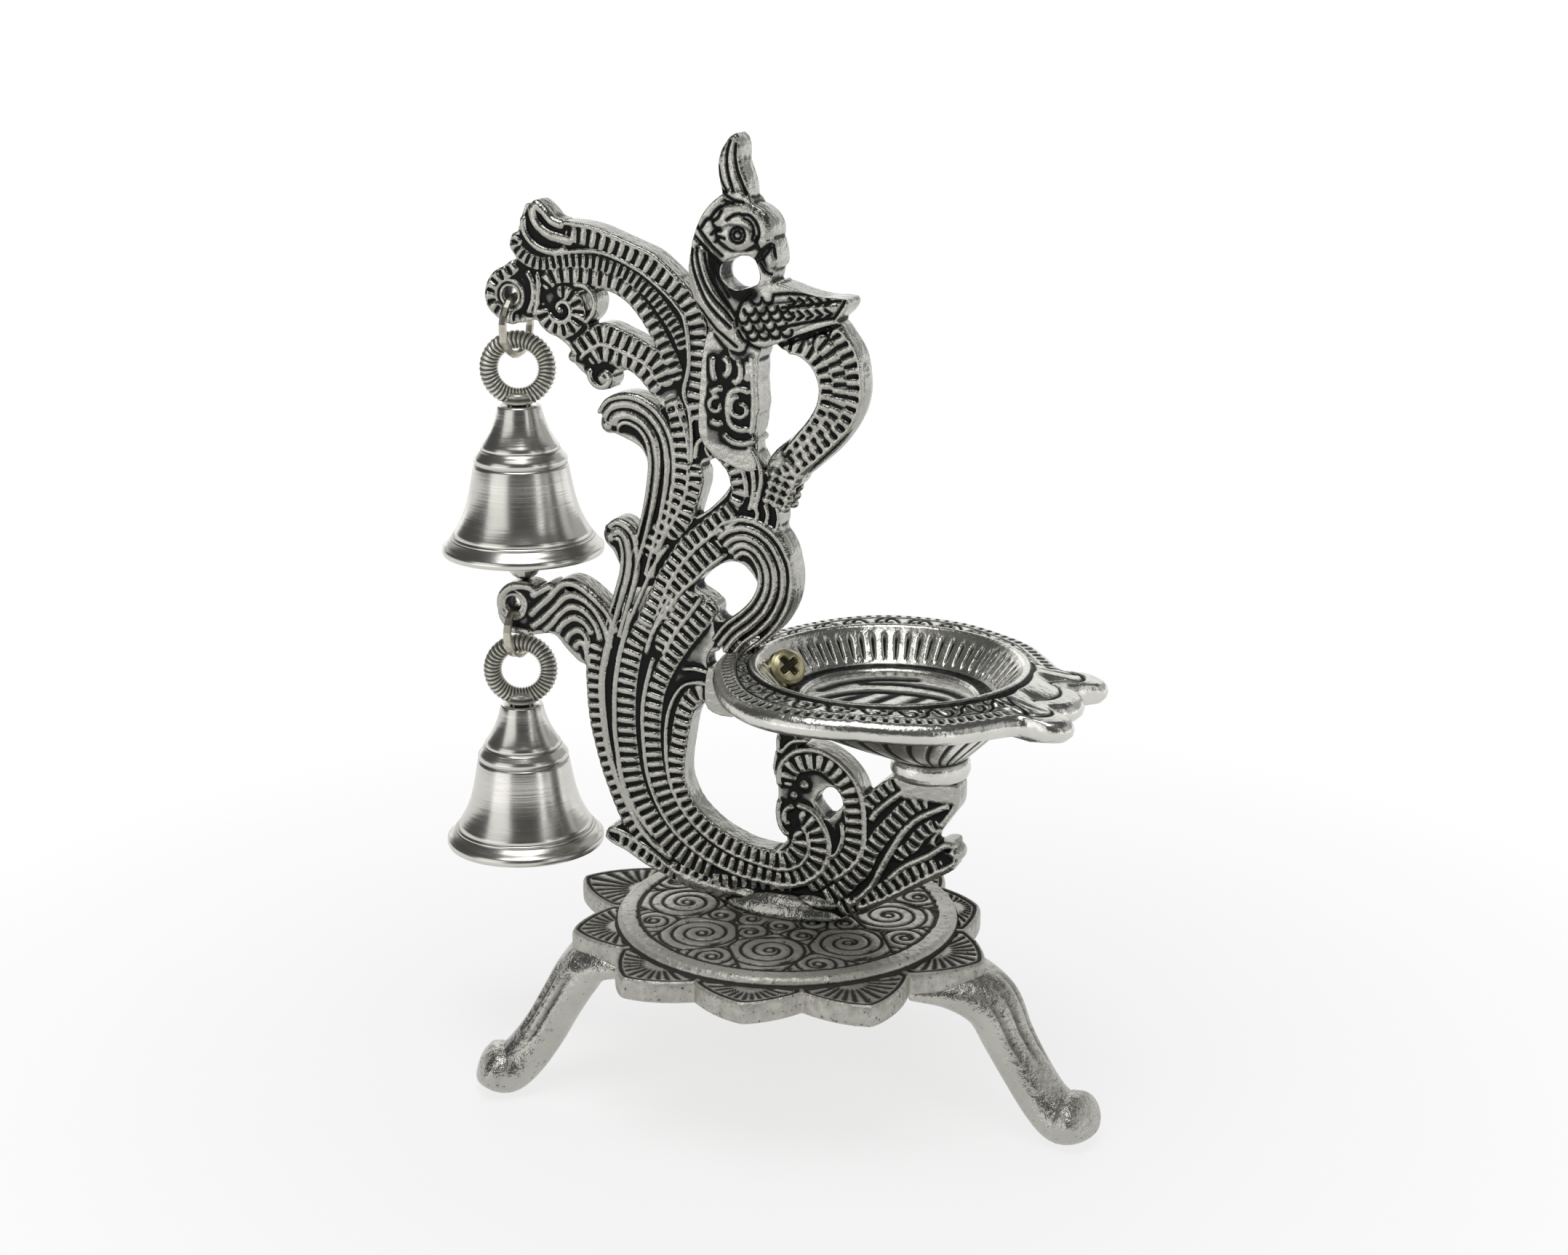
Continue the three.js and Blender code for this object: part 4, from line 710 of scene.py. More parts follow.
body_parts += [strand(rows, width, BAND_DEPTH + 0.2) for width, rows in (
    (1.2, [(-19, 132), (-18.2, 136), (-15.5, 137.3), (-13.5, 136.9), (-11, 135), (-9, 132), (-7.9, 128.5),
           (-7.9, 125)]),
    (1.2, [(-12, 138.5), (-9, 135.5), (-6.8, 132), (-6.2, 128.5), (-6.5, 125), (-7.5, 122.5)]),
    (1.1, [(-10, 139.2), (-7, 136), (-5, 132.5), (-4.6, 129), (-5.2, 126), (-6, 122.6)]),
    (1.1, [(-12, 113.6), (-16, 110.5), (-19, 107.5), (-22, 104.8), (-25, 101), (-27.5, 97.5), (-29.3, 94)]),
    (0.9, [(-12.4, 119), (-15.4, 117), (-18.2, 114.8), (-21, 111.8), (-23.6, 108.2), (-26, 104.2)]),
    (1.1, [(-25, 114.3), (-28, 110), (-30.5, 105), (-32.8, 100), (-34.6, 96), (-36, 92)]),
    (0.9, [(-20.4, 130.6), (-20.6, 127), (-21.8, 123.4), (-23.6, 119.8), (-26, 116), (-28.4, 111.6)]),
    (0.9, [(-23.4, 144), (-21.6, 140), (-20.4, 136), (-20.2, 131.4)]),
    (1.0, [(-8.4, 122), (-10.2, 120.2), (-13, 118.6)]),
)]
leaf_upper = [(-38.6, 138.4), (-36.6, 141), (-33, 141.6), (-29.2, 139.8), (-26.7, 136), (-26, 130.6),
              (-26.7, 124.6), (-28, 118.6), (-29.6, 113), (-31.4, 107)]
body_parts += ridges(
    leaf_upper,
    (-1.25, (3.4, 3.0, 2.6, 2.4, 2.2, 1.9, 1.6, 1.3, 1.0, 0.8), 0.3),
    (0.9, (1.6, 2.4, 2.5, 2.3, 2.1, 1.8, 1.5, 1.2, 1.0, 0.8), 0.1),
    (2.5, (0.8, 1.4, 1.9, 1.9, 1.8, 1.6, 1.3, 1.1, 0.9, 0.7), -0.1),
    (-2.9, (0.6, 1.0, 1.4, 1.5, 1.4, 1.2, 1.0, 0.8, 0.7, 0.6), -0.2))
body_parts += [lump((-38.4, 0, 138), (2.1, 3.2, 2.2), 12)]
leaf_lower = [(-38.6, 115.6), (-36.4, 117), (-33.9, 115.4), (-33, 111.4), (-33.4, 107), (-34.7, 102.6),
              (-36.2, 98), (-37.8, 93)]
body_parts += ridges(
    leaf_lower,
    (-0.9, (2.8, 2.6, 2.5, 2.2, 1.9, 1.6, 1.3, 1.0), 0.3),
    (0.9, (1.0, 1.8, 2.0, 1.9, 1.7, 1.4, 1.2, 0.9), 0),
    (-2.4, (0.7, 1.1, 1.4, 1.4, 1.2, 1.0, 0.8, 0.7), -0.2))
body_parts += [lump((-38.2, 0, 114.6), (1.9, 3.2, 1.9), 12)]
big_curl = [(-13.5, 115.2), (-11, 117.4), (-7.4, 118), (-3.6, 116), (-1.2, 111.6), (-1.1, 106.6),
            (-3, 102.2), (-6, 98.8), (-9.6, 95.8), (-12.6, 92)]
body_parts += ridges(
    big_curl,
    (3.0, (0.6, 1.3, 1.7, 1.8, 1.7, 1.6, 1.5, 1.3, 1.0, 0.8), 0.3),
    (1.15, (1.0, 1.8, 1.9, 1.9, 1.8, 1.7, 1.5, 1.3, 1.1, 0.9), 0.5),
    (-0.7, (1.4, 1.9, 1.9, 1.8, 1.8, 1.7, 1.6, 1.6, 1.6, 1.6), 0.5),
    (-2.4, (1.8, 2.1, 2.0, 1.8, 1.7, 1.7, 1.7, 1.5, 1.3, 1.2), 0.2),
    (-4.0, (1.0, 1.6, 1.6, 1.4, 1.3, 1.2, 1.2, 1.1, 1.0, 0.9), -0.2))
body_parts += [strand([(-10.6, 119.4), (-6, 120.6), (-1.4, 119), (1.4, 114.6), (1.7, 108.6), (0.1, 103.4),
                       (-3.2, 98.8)], 1.4, BAND_DEPTH - 0.2)]
body_parts += [strand(rows, 1.0, BAND_DEPTH) for rows in (
    [(-6.5, 124.5), (-5.4, 122.4), (-6.2, 120)], [(-4, 125), (-3.2, 122.4), (-3.8, 119.6)],
    [(-1.4, 124.8), (-0.8, 122), (-1.4, 118.8)])]
stem_piece("stem_body", body_parts, [-17])

# Lower sweep: the bands swing round the large opening into two curls and a spray of leaves, the lower
# hook branches off behind, and a smooth foot, a pad and a lug carry the lamp's base and bowl.
sweep_parts = [
    slab([(13, 38.6), (21, 41.8), (30, 47.6), (38, 53.2), (38, 57.4), (34.6, 59.6), (36.6, 64), (37.6, 69),
          (30, 69.6), (23, 68.6), (19, 66), (17.4, 69.6), (11.6, 74), (5.6, 75.4), (4.4, 81.6),
          (-0.8, 81.6), (-1.4, 74.5), (-2.3, 69), (-1, 64.7), (-1.6, 58), (1, 53.4), (-5, 52.6),
          (-12, 53.8), (-18, 58), (-21.2, 65), (-20.4, 75), (-17.4, 81.2), (-12.6, 84), (-14.6, 92),
          (-12.6, 97), (-15, 105), (-24, 107), (-35, 104), (-36.6, 97), (-42.5, 95), (-44.6, 86),
          (-43.6, 77), (-40.6, 63.5), (-36.6, 53.6), (-40.6, 51), (-39.6, 48), (-33, 45.2), (-25, 41.8),
          (-17, 38.6)], WEB_DEPTH,
         [[(9, 65.9), (11.4, 66.3), (13.3, 63.4), (11.6, 61.6), (9.3, 64)]]),
    slab([(-64.8, 94.4), (-64.9, 98.6), (-62.4, 101.8), (-57, 102.4), (-52, 103.6), (-46.4, 104),
          (-40.6, 100.4), (-36, 95), (-36, 88.6), (-44.4, 86.4), (-48.6, 89), (-52, 92.2), (-57, 91.6),
          (-62, 91.8)], 5.2,
         drilled=[circle(RING_HOLE_LOWER, RING_HOLE_RADIUS)]),
    hoop(RING_HOLE_LOWER),
]
sweep_parts += [ribbed(rows, width) for width, rows in (
    (2.8, [(-20, 104.5), (-22, 101.5), (-24, 98), (-26, 94.5), (-27.5, 91)]),
    (2.9, [(-15, 103), (-18.5, 98.5), (-22.5, 93.5), (-26, 88), (-28.3, 82.5), (-29.3, 76), (-29.3, 70),
           (-28.2, 64), (-25.8, 58), (-22.3, 53), (-17.5, 48.7), (-11, 46.2), (-3, 45), (1, 45),
           (4.5, 46.5), (7, 49), (8, 52), (7.9, 55), (7, 57.3), (5, 59), (3.3, 59.3)]),
    (3.3, [(-30.2, 98), (-31.5, 95), (-33.4, 91), (-34.9, 84), (-35.3, 78), (-35.2, 72), (-34.3, 64, 3.7),
           (-31.8, 57, 3.7), (-27.5, 51, 3.7), (-22, 46.6, 3.5), (-15, 44, 3)]),
    (2.1, [(-41.4, 92.6), (-42.5, 88), (-42.9, 84), (-42.8, 79), (-42.3, 74), (-41.3, 69.5), (-40, 64.5),
           (-38.4, 60), (-36.8, 56), (-35, 52.5), (-32, 49, 1.2)]),
    (2.7, [(-14, 83), (-18.5, 83.2), (-20.5, 81.5), (-22, 78.5), (-22.7, 75.5), (-23.3, 72), (-23.8, 69),
           (-24, 66), (-23.8, 63.5), (-23, 61), (-21.8, 58.5), (-20, 56.2), (-17.5, 54), (-14.5, 52),
           (-11, 50.5), (-8, 49.5), (-4, 49), (0, 49), (2.5, 50.5), (3.8, 52.5), (3.8, 54.5), (2.7, 55.8)]),
    (2.4, [(-39, 48.8), (-36, 48.2), (-33.5, 46.8), (-31, 45.3), (-28, 44), (-24, 42), (-19, 40.6)]),
    (2.7, [(1, 65.5), (1.2, 68), (2.5, 70), (4.5, 71), (7, 71.5), (9.5, 71), (12, 69.3), (14, 67), (15, 64),
           (15.5, 61), (15.7, 58), (15.6, 55), (15, 52.8), (13.5, 50.5), (11.5, 48.7), (9.5, 47), (7, 45),
           (5, 43.5)]),
    (2.5, [(33, 66.3), (30.5, 66.3), (28.5, 65.3), (26.5, 63.5), (24.5, 61), (22, 58), (20.3, 55.5),
           (19, 53.5), (18.2, 51), (17, 49), (15.5, 47.5), (13.5, 45), (11, 43), (8.5, 41.3)]),
    (1.8, [(17.8, 62), (19, 64.5), (21, 66.5), (23, 68.3), (25.5, 69.7), (27.5, 69.9)]),
    (1.6, [(34, 62), (31.5, 60.5), (29.5, 58.5), (28, 56), (26, 54.5), (25, 52.5)]),
    (2.6, [(35, 53.4), (32, 51.8), (30, 51), (28, 50), (26, 48.7), (24, 47), (22, 45.3), (20, 43.7),
           (17.5, 42.2), (14, 40.7), (12, 39.5)]),
    (1.7, [(-17.2, 42), (-11, 42.6), (-4, 43), (2.4, 43)]),
    (1.6, [(-27, 44.2), (-21, 42.6), (-15, 41), (-8, 40)]),
)]
sweep_parts += [strand(rows, width, BAND_DEPTH + 0.2) for width, rows in (
    (2.2, [(-37.6, 97.4), (-39, 92), (-40, 88), (-40.8, 84), (-40.9, 79), (-40.5, 74), (-39.8, 69),
           (-38.6, 64.5), (-37.2, 60.5), (-35.3, 56.5), (-33, 52.5), (-30, 49), (-25, 45.4)]),
    (1.5, [(-33.6, 100), (-35.3, 94), (-36.7, 89), (-37.7, 83), (-38, 78), (-38, 73), (-37.6, 69),
           (-36.4, 61.6), (-33.4, 55.4), (-29, 50)]),
    (1.1, [(-28.8, 90), (-30.5, 84), (-31.5, 78), (-31.4, 71), (-30.5, 63.5), (-28, 57), (-24, 51.6),
           (-18, 47.2), (-11, 44.6), (-4, 43.6), (2, 43.6)]),
    (0.9, [(-14, 84.8), (-16, 85.2), (-19, 85.5), (-22, 84.5), (-24, 82), (-25.3, 79), (-26, 76),
           (-26.3, 72), (-26.1, 67), (-24.8, 61.2), (-21.6, 56), (-17, 51.8), (-11, 48.8), (-4, 47.2),
           (0.6, 47), (4, 48.6), (5.8, 51.4), (5.6, 55), (4, 57.6)]),
    (0.8, [(-15, 87.5), (-19, 88.3), (-22.6, 88)]),
    (1.1, [(-24, 104.4), (-26.6, 100), (-29, 95), (-30.6, 90)]),
    (1.1, [(-17.4, 104.4), (-20.4, 100.2), (-23.8, 95.6), (-26.8, 90.2)]),
    (1.4, [(-40.4, 50.3), (-37, 49.9), (-33, 48.3), (-29, 46), (-25.5, 43.5), (-21, 41.2)]),
    (3.4, [(-25, 42.4), (-17, 40.6), (-8, 39.8), (1, 39.7), (9, 40)]),
    (1.2, [(-40.8, 49.4), (-39.2, 47.8), (-35.6, 46.4), (-31, 43.9), (-27, 42.4)]),
    (1.5, [(2.7, 61.7), (6, 61), (8.5, 58.5), (9.9, 55.5), (10.3, 52), (9.5, 49), (7.5, 46.5), (4.5, 44.5),
           (1, 43.4), (-3, 42.8)]),
    (1.2, [(-0.6, 62.6), (-1, 59.6), (-0.4, 56.6), (1.4, 54.4)]),
    (1.3, [(2.7, 61.4), (0.8, 60.4), (0.4, 58.2), (1.6, 56.8)]),
    (1.3, [(-0.7, 65), (-0.8, 68), (0, 70.5), (2.5, 73), (6, 74), (9.5, 73.5), (13, 71.5), (15.8, 68.5),
           (17.3, 65), (17.8, 61.5), (17.9, 57), (17.5, 53.5), (16, 50.5), (13.5, 48), (11, 46)]),
    (1.0, [(12.9, 59.4), (13.2, 56), (12.3, 53), (10.6, 50.6)]),
    (1.0, [(-1, 76.4), (-0.6, 72.6), (2, 75.2), (6, 76)]),
    (1.5, [(19, 60), (20.5, 62.5), (23, 65), (26, 67.5), (29, 69), (33, 69.4)]),
    (1.6, [(14.5, 40.6), (19.5, 46), (21.5, 50), (23.5, 54), (26, 58.5), (29, 62), (33, 64.5),
           (36.4, 66.2)]),
    (1.3, [(37, 69), (37.2, 66), (35.6, 63.4), (33.8, 60.8)]),
    (1.6, [(37.6, 57.4), (35, 57.2), (32, 54.8), (29, 53), (26, 51), (23, 47.8)]),
    (1.3, [(38.2, 54.8), (36, 52.8), (33, 50.9), (30, 48.9), (27, 46.9), (24, 44.8), (20, 42.5),
           (16, 40.5)]),
)]
# lower hook: S-shaped ridges run from the ring into round folds
sweep_parts += [strand(rows, width, BAND_DEPTH + 0.2) for width, rows in (
    (2.1, [(-64.4, 96), (-64, 99.4), (-61.6, 101.6), (-58, 102), (-55.6, 101.2)]),
    (2.1, [(-57.8, 95.4), (-55.4, 97.8), (-52.6, 100.4), (-49.6, 103.4), (-46.4, 103.6), (-42.6, 101.4),
           (-39, 98), (-37.2, 93.6)]),
    (2.0, [(-57.6, 93), (-54.6, 95.2), (-51.6, 98), (-48.8, 100.8), (-45.6, 101), (-42, 98.6),
           (-39.6, 94.4), (-38.8, 90)]),
    (2.0, [(-57.4, 99.8), (-54.4, 101.6), (-51.4, 103.2)]),
    (1.9, [(-54.6, 92.4), (-52.2, 94.6), (-49.8, 97.4), (-47.2, 98.8), (-44.4, 98), (-41.9, 95.4),
           (-40.9, 91.6)]),
    (1.9, [(-51.4, 92.4), (-49.4, 95), (-46.8, 96.4), (-44.2, 95.4), (-42.6, 92.8)]),
    (1.8, [(-49.4, 90.6), (-47.8, 93), (-45.6, 93.8), (-44, 92.2), (-43.8, 89.6)]),
    (2.1, [(-47.2, 89.2), (-46.2, 91), (-44.8, 91), (-44, 88.8), (-43.8, 86.4)]),
    (1.8, [(-63, 92.4), (-60, 92.2), (-56.8, 92)]),
)]
# the pad's top lies 0.3 mm under the bowl's foot
FOOT_BOTTOM = 71.0
PAD_SIZE = (12.5, 6.4, 4.6)
pad = bmesh.new()
bmesh.ops.create_cube(pad, size=1)
bmesh.ops.scale(pad, verts=pad.verts, vec=PAD_SIZE)
bmesh.ops.translate(pad, verts=pad.verts, vec=(31.75, 0, FOOT_BOTTOM - 0.3 - PAD_SIZE[2] / 2))
bmesh.ops.bevel(pad, geom=pad.edges, affect="EDGES", offset=0.8, segments=3, profile=0.5, material=-1)
foot = lump((0, 0, MEDALLION_TOP + 0.3), (14, 6.5, 5.0), 16)
bmesh.ops.bisect_plane(foot, geom=foot.verts[:] + foot.edges[:] + foot.faces[:],
                       plane_co=(0, 0, MEDALLION_TOP + 0.3), plane_no=(0, 0, -1), clear_outer=True)
bmesh.ops.holes_fill(foot, edges=foot.edges)
lug = slab([(-16.5, 81.6), (-11.4, 79.4), (-3.4, 81.8), (-1.8, 85.4), (-8, 89), (-15, 91)], 8.6)
sweep_parts += [pad, foot, lug,
                lump((4.7, 0, 66.2), (1.5, 3.5, 1.5), 10), lump((2.5, 0, 63.6), (1.3, 3.1, 1.4), 10),
                lump((7, 0, 40.6), (7, 4.2, 2.4), 12), lump((-8, 0, 40.4), (6, 4.0, 2.2), 12),
                lump((36.4, 0, 68), (1.9, 3.2, 2.2), 10), lump((37, 0, 55.6), (1.9, 3.1, 1.9), 10)]
stem_piece("stem_sweep", sweep_parts, [-26, 2])

# Oil bowl. A leaf-shaped casting with a round well, an engraved border, a thick rounded lip that draws
# out to a spout between two ears, and a fluted cone on a ring foot. A screw through the well's wall
# holds it to the stem.
WELL_X = 22.0
BOWL_TOP = 93.8
WELL_FLOOR = 86.6
LIP_HEIGHT = 3.9
FOOT_X = 31.0
CONE_RADIUS = 27.2
CONE_TOP = 86.6
FOOT_RADIUS = 7.4
WELL_RIM = 28.4
LIP_INSET = 4.7
bowl_finish = oxidised("cast_bowl_metal", rgb(0.74, 0.735, 0.685), rgb(0.02, 0.022, 0.02),
                       polish=0.22, skin_mm=0.08, patina=0.5)
half_outline = [(62, 0), (61, 4), (58.2, 7), (60.2, 9.4), (63.3, 11.6), (62.9, 15.2), (59.4, 17.2),
                (54.4, 16.6), (48.8, 23.4), (43.8, 29.2), (37.4, 33), (30, 35.8), (21.6, 37.6), (13, 37.4),
                (5.4, 34.8), (-1.2, 29.6), (-6.6, 22), (-10.8, 13.4), (-13, 6), (-13.5, 0)]
bowl_outline = half_outline + [(x, -y) for x, y in half_outline[-2:0:-1]]


def shell(stations, around, places):
    """A closed skin of rings: places gives each ring vertex's point and groove from station and turn."""
    sheet, u, v = flat_grid(around, stations)
    groove_layer = sheet.verts.layers.float.new("groove")
    points, grooves = places(v, u)
    for vert, groove in zip(sheet.verts, grooves):
        vert[groove_layer] = min(max(groove, GROOVE_RANGE[0]), GROOVE_RANGE[1])
    return shape_grid(sheet, points, 2e-4)


outline_line, outline_reach = smooth_line(bowl_outline, 0.25, True)
outline_turn = np.unwrap(np.arctan2(outline_line[:, 1], outline_line[:, 0] - WELL_X))
# rings of the bowl from the floor's middle over the lip to the foot's: kind, radius or share or inset,
# height, number of steps to the next row
BOWL_ROWS = [("well", 0.0, WELL_FLOOR, 24), ("well", 16.8, WELL_FLOOR, 2),
             ("well", 17.3, WELL_FLOOR - 0.25, 2), ("well", 17.9, WELL_FLOOR + 0.35, 3),
             ("well", 19.2, WELL_FLOOR + 0.35, 2), ("well", 19.9, WELL_FLOOR - 0.3, 2),
             ("well", 20.9, WELL_FLOOR + 0.3, 16), ("well", 26.2, BOWL_TOP - 0.9, 2),
             ("well", 26.8, BOWL_TOP - 0.1, 2), ("well", 27.5, BOWL_TOP + 0.1, 2),
             ("well", 28.2, BOWL_TOP - 0.2, 1), ("band", 0.0, -0.15, 20), ("band", 1.0, -0.05, 2),
             ("edge", 4.0, 0.5, 10), ("edge", 1.8, 0.2, 2), ("edge", 0.8, -0.35, 2),
             ("edge", 0.22, -1.1, 2), ("edge", 0.0, -2.0, 2), ("edge", 0.25, -3.0, 2),
             ("edge", 1.2, -LIP_HEIGHT, 3), ("edge", 4.0, -LIP_HEIGHT - 0.6, 4), ("cone", 0.0, 0, 22),
             ("cone", 1.0, 0, 2), ("foot", FOOT_RADIUS, FOOT_BOTTOM + 4.2, 2),
             ("foot", 8.0, FOOT_BOTTOM + 3.4, 3), ("foot", 8.15, FOOT_BOTTOM + 1.8, 3),
             ("foot", 7.7, FOOT_BOTTOM + 0.5, 2), ("foot", 7, FOOT_BOTTOM, 6),
             ("foot", 0.0, FOOT_BOTTOM, 0)]
# where in BOWL_ROWS each ornament lies, the creases that hold oxide, and the lip's first and last row
FLOOR_ROW, WALL_ROW, BAND_ROW, BEAD_ROW, CONE_ROW = 0, 6, 11, 13, 21
CREASE_ROWS = (3, 5, 10, 22)
LIP_ROWS = (14, 20)
FLOOR_CUT, NOTCH_CUT, SCROLL_CUT, BEAD_CUT, FLUTE_CUT = 0.55, 0.6, 0.5, 0.55, 0.55
FLOOR_LINES_WITHIN = 16
WELL_NOTCH_STEP = 2.35
BEAD_STEP = 2.3
FLUTES, FLUTE_TWIST = 32, 1.6


def bowl_point(kind, value, height, turn, edge_radius):
    """Points on the bowl at these turns about the well, for a row of BOWL_ROWS."""
    x, radius = WELL_X, value
    # the edge sinks towards the spout
    edge_z = BOWL_TOP - 1 - 0.068 * np.maximum(0, WELL_X + edge_radius * np.cos(turn) - 28)
    if kind == "band":
        radius = WELL_RIM + (edge_radius - LIP_INSET - WELL_RIM) * value
        height = BOWL_TOP - 0.35 + (edge_z + 0.6 - BOWL_TOP + 0.35) * value + height
    elif kind == "edge":
        radius = edge_radius - value
        height = edge_z + height
    elif kind == "cone":
        radius = CONE_RADIUS + (FOOT_RADIUS - CONE_RADIUS) * value
        x = WELL_X + (FOOT_X - WELL_X) * value
        height = CONE_TOP + (FOOT_BOTTOM + 4.4 - CONE_TOP) * value - 1.6 * value * (1 - value)
    elif kind == "foot":
        x = FOOT_X
    return np.stack([x + radius * np.cos(turn), radius * np.sin(turn), height + 0 * turn], 1)


# one unit of the border's scrolls, which repeats along it, and the lines on the well's floor
curl_unit = [[(0.4, 0.18), (1.0, 0.55), (2.2, 0.84), (3.7, 0.74), (3.8, 0.42), (2.7, 0.36)],
             [(4.8, 0.88), (6.0, 0.7), (6.4, 0.34), (7.6, 0.14)], [(4.6, 0.16), (5.2, 0.42)]]
CURL_PITCH = 7.8
BAND_WIDTH = 7.0
FLOOR_LINES = [[(9, -8), (12, -3), (17, 1.4), (24, 3), (32, 2.4), (37.4, -1)],
               [(9, -8), (15, -9.4), (22, -9), (30, -6.4), (37.4, -1)], [(13, -8.4), (17.6, 1)],
               [(19, -9), (23, 2.6)], [(25.4, -8), (28.6, 2.4)], [(31, -5.8), (33.4, 1.8)],
               [(7.6, -1), (10.4, 5), (16, 10), (23.6, 12.4)], [(14, 6.4), (22, 8.6), (31, 7.6), (36, 4.6)],
               [(10, -12), (20, -14.4), (30, -12.6)]]


def bowl_places(v, u):
    """The bowl's points and grooves: floor lines, wall notches, scroll band, lip beads and cone flutes."""
    steps = np.array([row[3] for row in BOWL_ROWS[:-1]])
    starts = np.concatenate([[0], np.cumsum(steps)])
    row = v * starts[-1]
    span = np.clip(np.searchsorted(starts, row + 1e-6, side="right") - 1, 0, len(steps) - 1)
    share = (row - starts[span]) / steps[span]
    turn = u * TURN
    edge_radius = np.interp(turn, outline_turn, np.hypot(outline_line[:, 0] - WELL_X, outline_line[:, 1]),
                            period=TURN)
    length = np.interp(turn, outline_turn, outline_reach, period=TURN)
    off_spout = np.abs((turn + math.pi) % TURN - math.pi)
    points = np.zeros((len(u), 3))
    for k, (this_row, next_row) in enumerate(zip(BOWL_ROWS, BOWL_ROWS[1:])):
        here = span == k
        t = share[here]
        place = turn[here], edge_radius[here]
        if this_row[0] == next_row[0] == "cone":
            points[here] = bowl_point("cone", t, 0, *place)
        else:
            start, end = bowl_point(*this_row[:3], *place), bowl_point(*next_row[:3], *place)
            points[here] = start + (end - start) * t[:, None]
    groove = np.zeros(len(u))
    radius = np.hypot(points[:, 0] - WELL_X, points[:, 1])

    floor = span == FLOOR_ROW
    groove[floor] = (1.15 * line_groove(points[floor][:, :2], FLOOR_LINES, 0.95)
                     * (radius[floor] < FLOOR_LINES_WITHIN))
    points[floor, 2] -= FLOOR_CUT * groove[floor]

    wall = span == WALL_ROW
    climb = share[wall]
    phase = (turn[wall] * 23.5) % WELL_NOTCH_STEP - 1.17
    notch = np.exp(-(phase / (0.16 + 0.22 * climb)) ** 2)
    notch *= np.clip((0.95 - climb) / 0.25, 0, 1) * np.clip((climb - 0.12) / 0.12, 0, 1)
    groove[wall] = 1.15 * notch - 0.2
    outward = np.stack([np.cos(turn[wall]), np.sin(turn[wall]), -0.8 + 0 * climb], 1)
    points[wall] += NOTCH_CUT * notch[:, None] * outward

    band = span == BAND_ROW
    flat = np.stack([length[band] * 0.9 % CURL_PITCH, share[band] * BAND_WIDTH], 1)
    lines = [[(x + shift, y * BAND_WIDTH) for x, y in line] for line in curl_unit
             for shift in (-CURL_PITCH, 0, CURL_PITCH)]
    plain = np.clip((off_spout[band] - 0.3) / 0.1, 0, 1)
    scroll = 1.05 * line_groove(flat, lines, 0.46) * plain
    border = np.maximum(*(np.exp(-((share[band] - at) * BAND_WIDTH / 0.3) ** 2) for at in (0.04, 0.97)))
    groove[band] = np.maximum(scroll, border)
    points[band, 2] -= SCROLL_CUT * groove[band]

    bead = span == BEAD_ROW
    plain = np.clip((off_spout[bead] - 0.45) / 0.1, 0, 1)
    notch = np.exp(-(((length[bead] % BEAD_STEP) - BEAD_STEP / 2) / 0.48) ** 2)
    notch = notch * np.sin(math.pi * np.clip(share[bead], 0, 1)) ** 0.5 * plain
    groove[bead] = 1.15 * notch
    points[bead, 2] -= BEAD_CUT * notch

    cone = span == CONE_ROW
    phase = (turn[cone] / TURN * FLUTES + FLUTE_TWIST * share[cone]) % 1 - 0.5
    flute = np.exp(-(phase / 0.13) ** 2)
    flute *= np.clip(share[cone] / 0.08, 0, 1) * np.clip((1 - share[cone]) / 0.06, 0, 1)
    groove[cone] = 1.2 * flute
    points[cone, 0] -= FLUTE_CUT * flute * np.cos(turn[cone])
    points[cone, 1] -= FLUTE_CUT * flute * np.sin(turn[cone])

    groove[(span >= LIP_ROWS[0]) & (span <= LIP_ROWS[1])] = GROOVE_RANGE[0]
    for k in CREASE_ROWS:
        groove[span == k] = np.maximum(groove[span == k], 0.6)
    return points, groove


bowl_mesh = as_mesh(shell(sum(row[3] for row in BOWL_ROWS), 640, bowl_places))
oil_bowl = finished("bowl_casting", bowl_mesh, bowl_finish, "stand")
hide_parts("oil_bowl")

# Lotus base. One casting: ten petals with fans of cuts round a raised medallion full of round scrolls,
# on three cabriole legs. Satin metal with oxide in the cuts, a painted shadow at the medallion's foot, and
# brighter legs.
PLATE_TOP = 35.4
PLATE_THICK = 4.6
MEDALLION_RADIUS = 35.6
MEDALLION_EDGE = 0.9
RIM_WIDTH = 3.6
PETAL_NOTCH = 37.6
# radius, height and steps to the next ring, from the medallion's middle to where the petals start
MEDALLION_ROWS = [(0, MEDALLION_TOP, 108), (MEDALLION_RADIUS - RIM_WIDTH, MEDALLION_TOP, 2),
                  (MEDALLION_RADIUS - RIM_WIDTH + 0.8, MEDALLION_TOP, 4),
                  (MEDALLION_RADIUS - MEDALLION_EDGE, MEDALLION_TOP, 2),
                  (MEDALLION_RADIUS, MEDALLION_TOP - 0.9, 2), (MEDALLION_RADIUS + 0.05, PLATE_TOP, 1)]
PETAL_STEPS, RIM_STEPS, UNDERSIDE_STEPS = 40, 6, 8
# degrees between a petal's cuts, half its width where they start, how deep the scrolls and the petals are
# cut, and where the medallion's border line runs
FAN_STEP = 13
FAN_HALF_WIDTH = 11.5
SCROLL_DEPTH, VEIN_DEPTH = 0.5, 0.45
BORDER_RADIUS = 31.2
# bearing and reach of each petal's tip
PETALS = [(-95, 50), (-60, 45.2), (-25.5, 45), (9.8, 43.5), (42.4, 46.7), (81.5, 45.8), (120, 41.5),
          (154, 44.5), (190, 44.5), (226, 46.5)]
base_finish = oxidised("satin_base_metal", rgb(0.7, 0.685, 0.62), rgb(0.06, 0.06, 0.05),
                       polish=0.38, skin_mm=0.2, patina=0.7, pits=0.8, sheen=0.6)


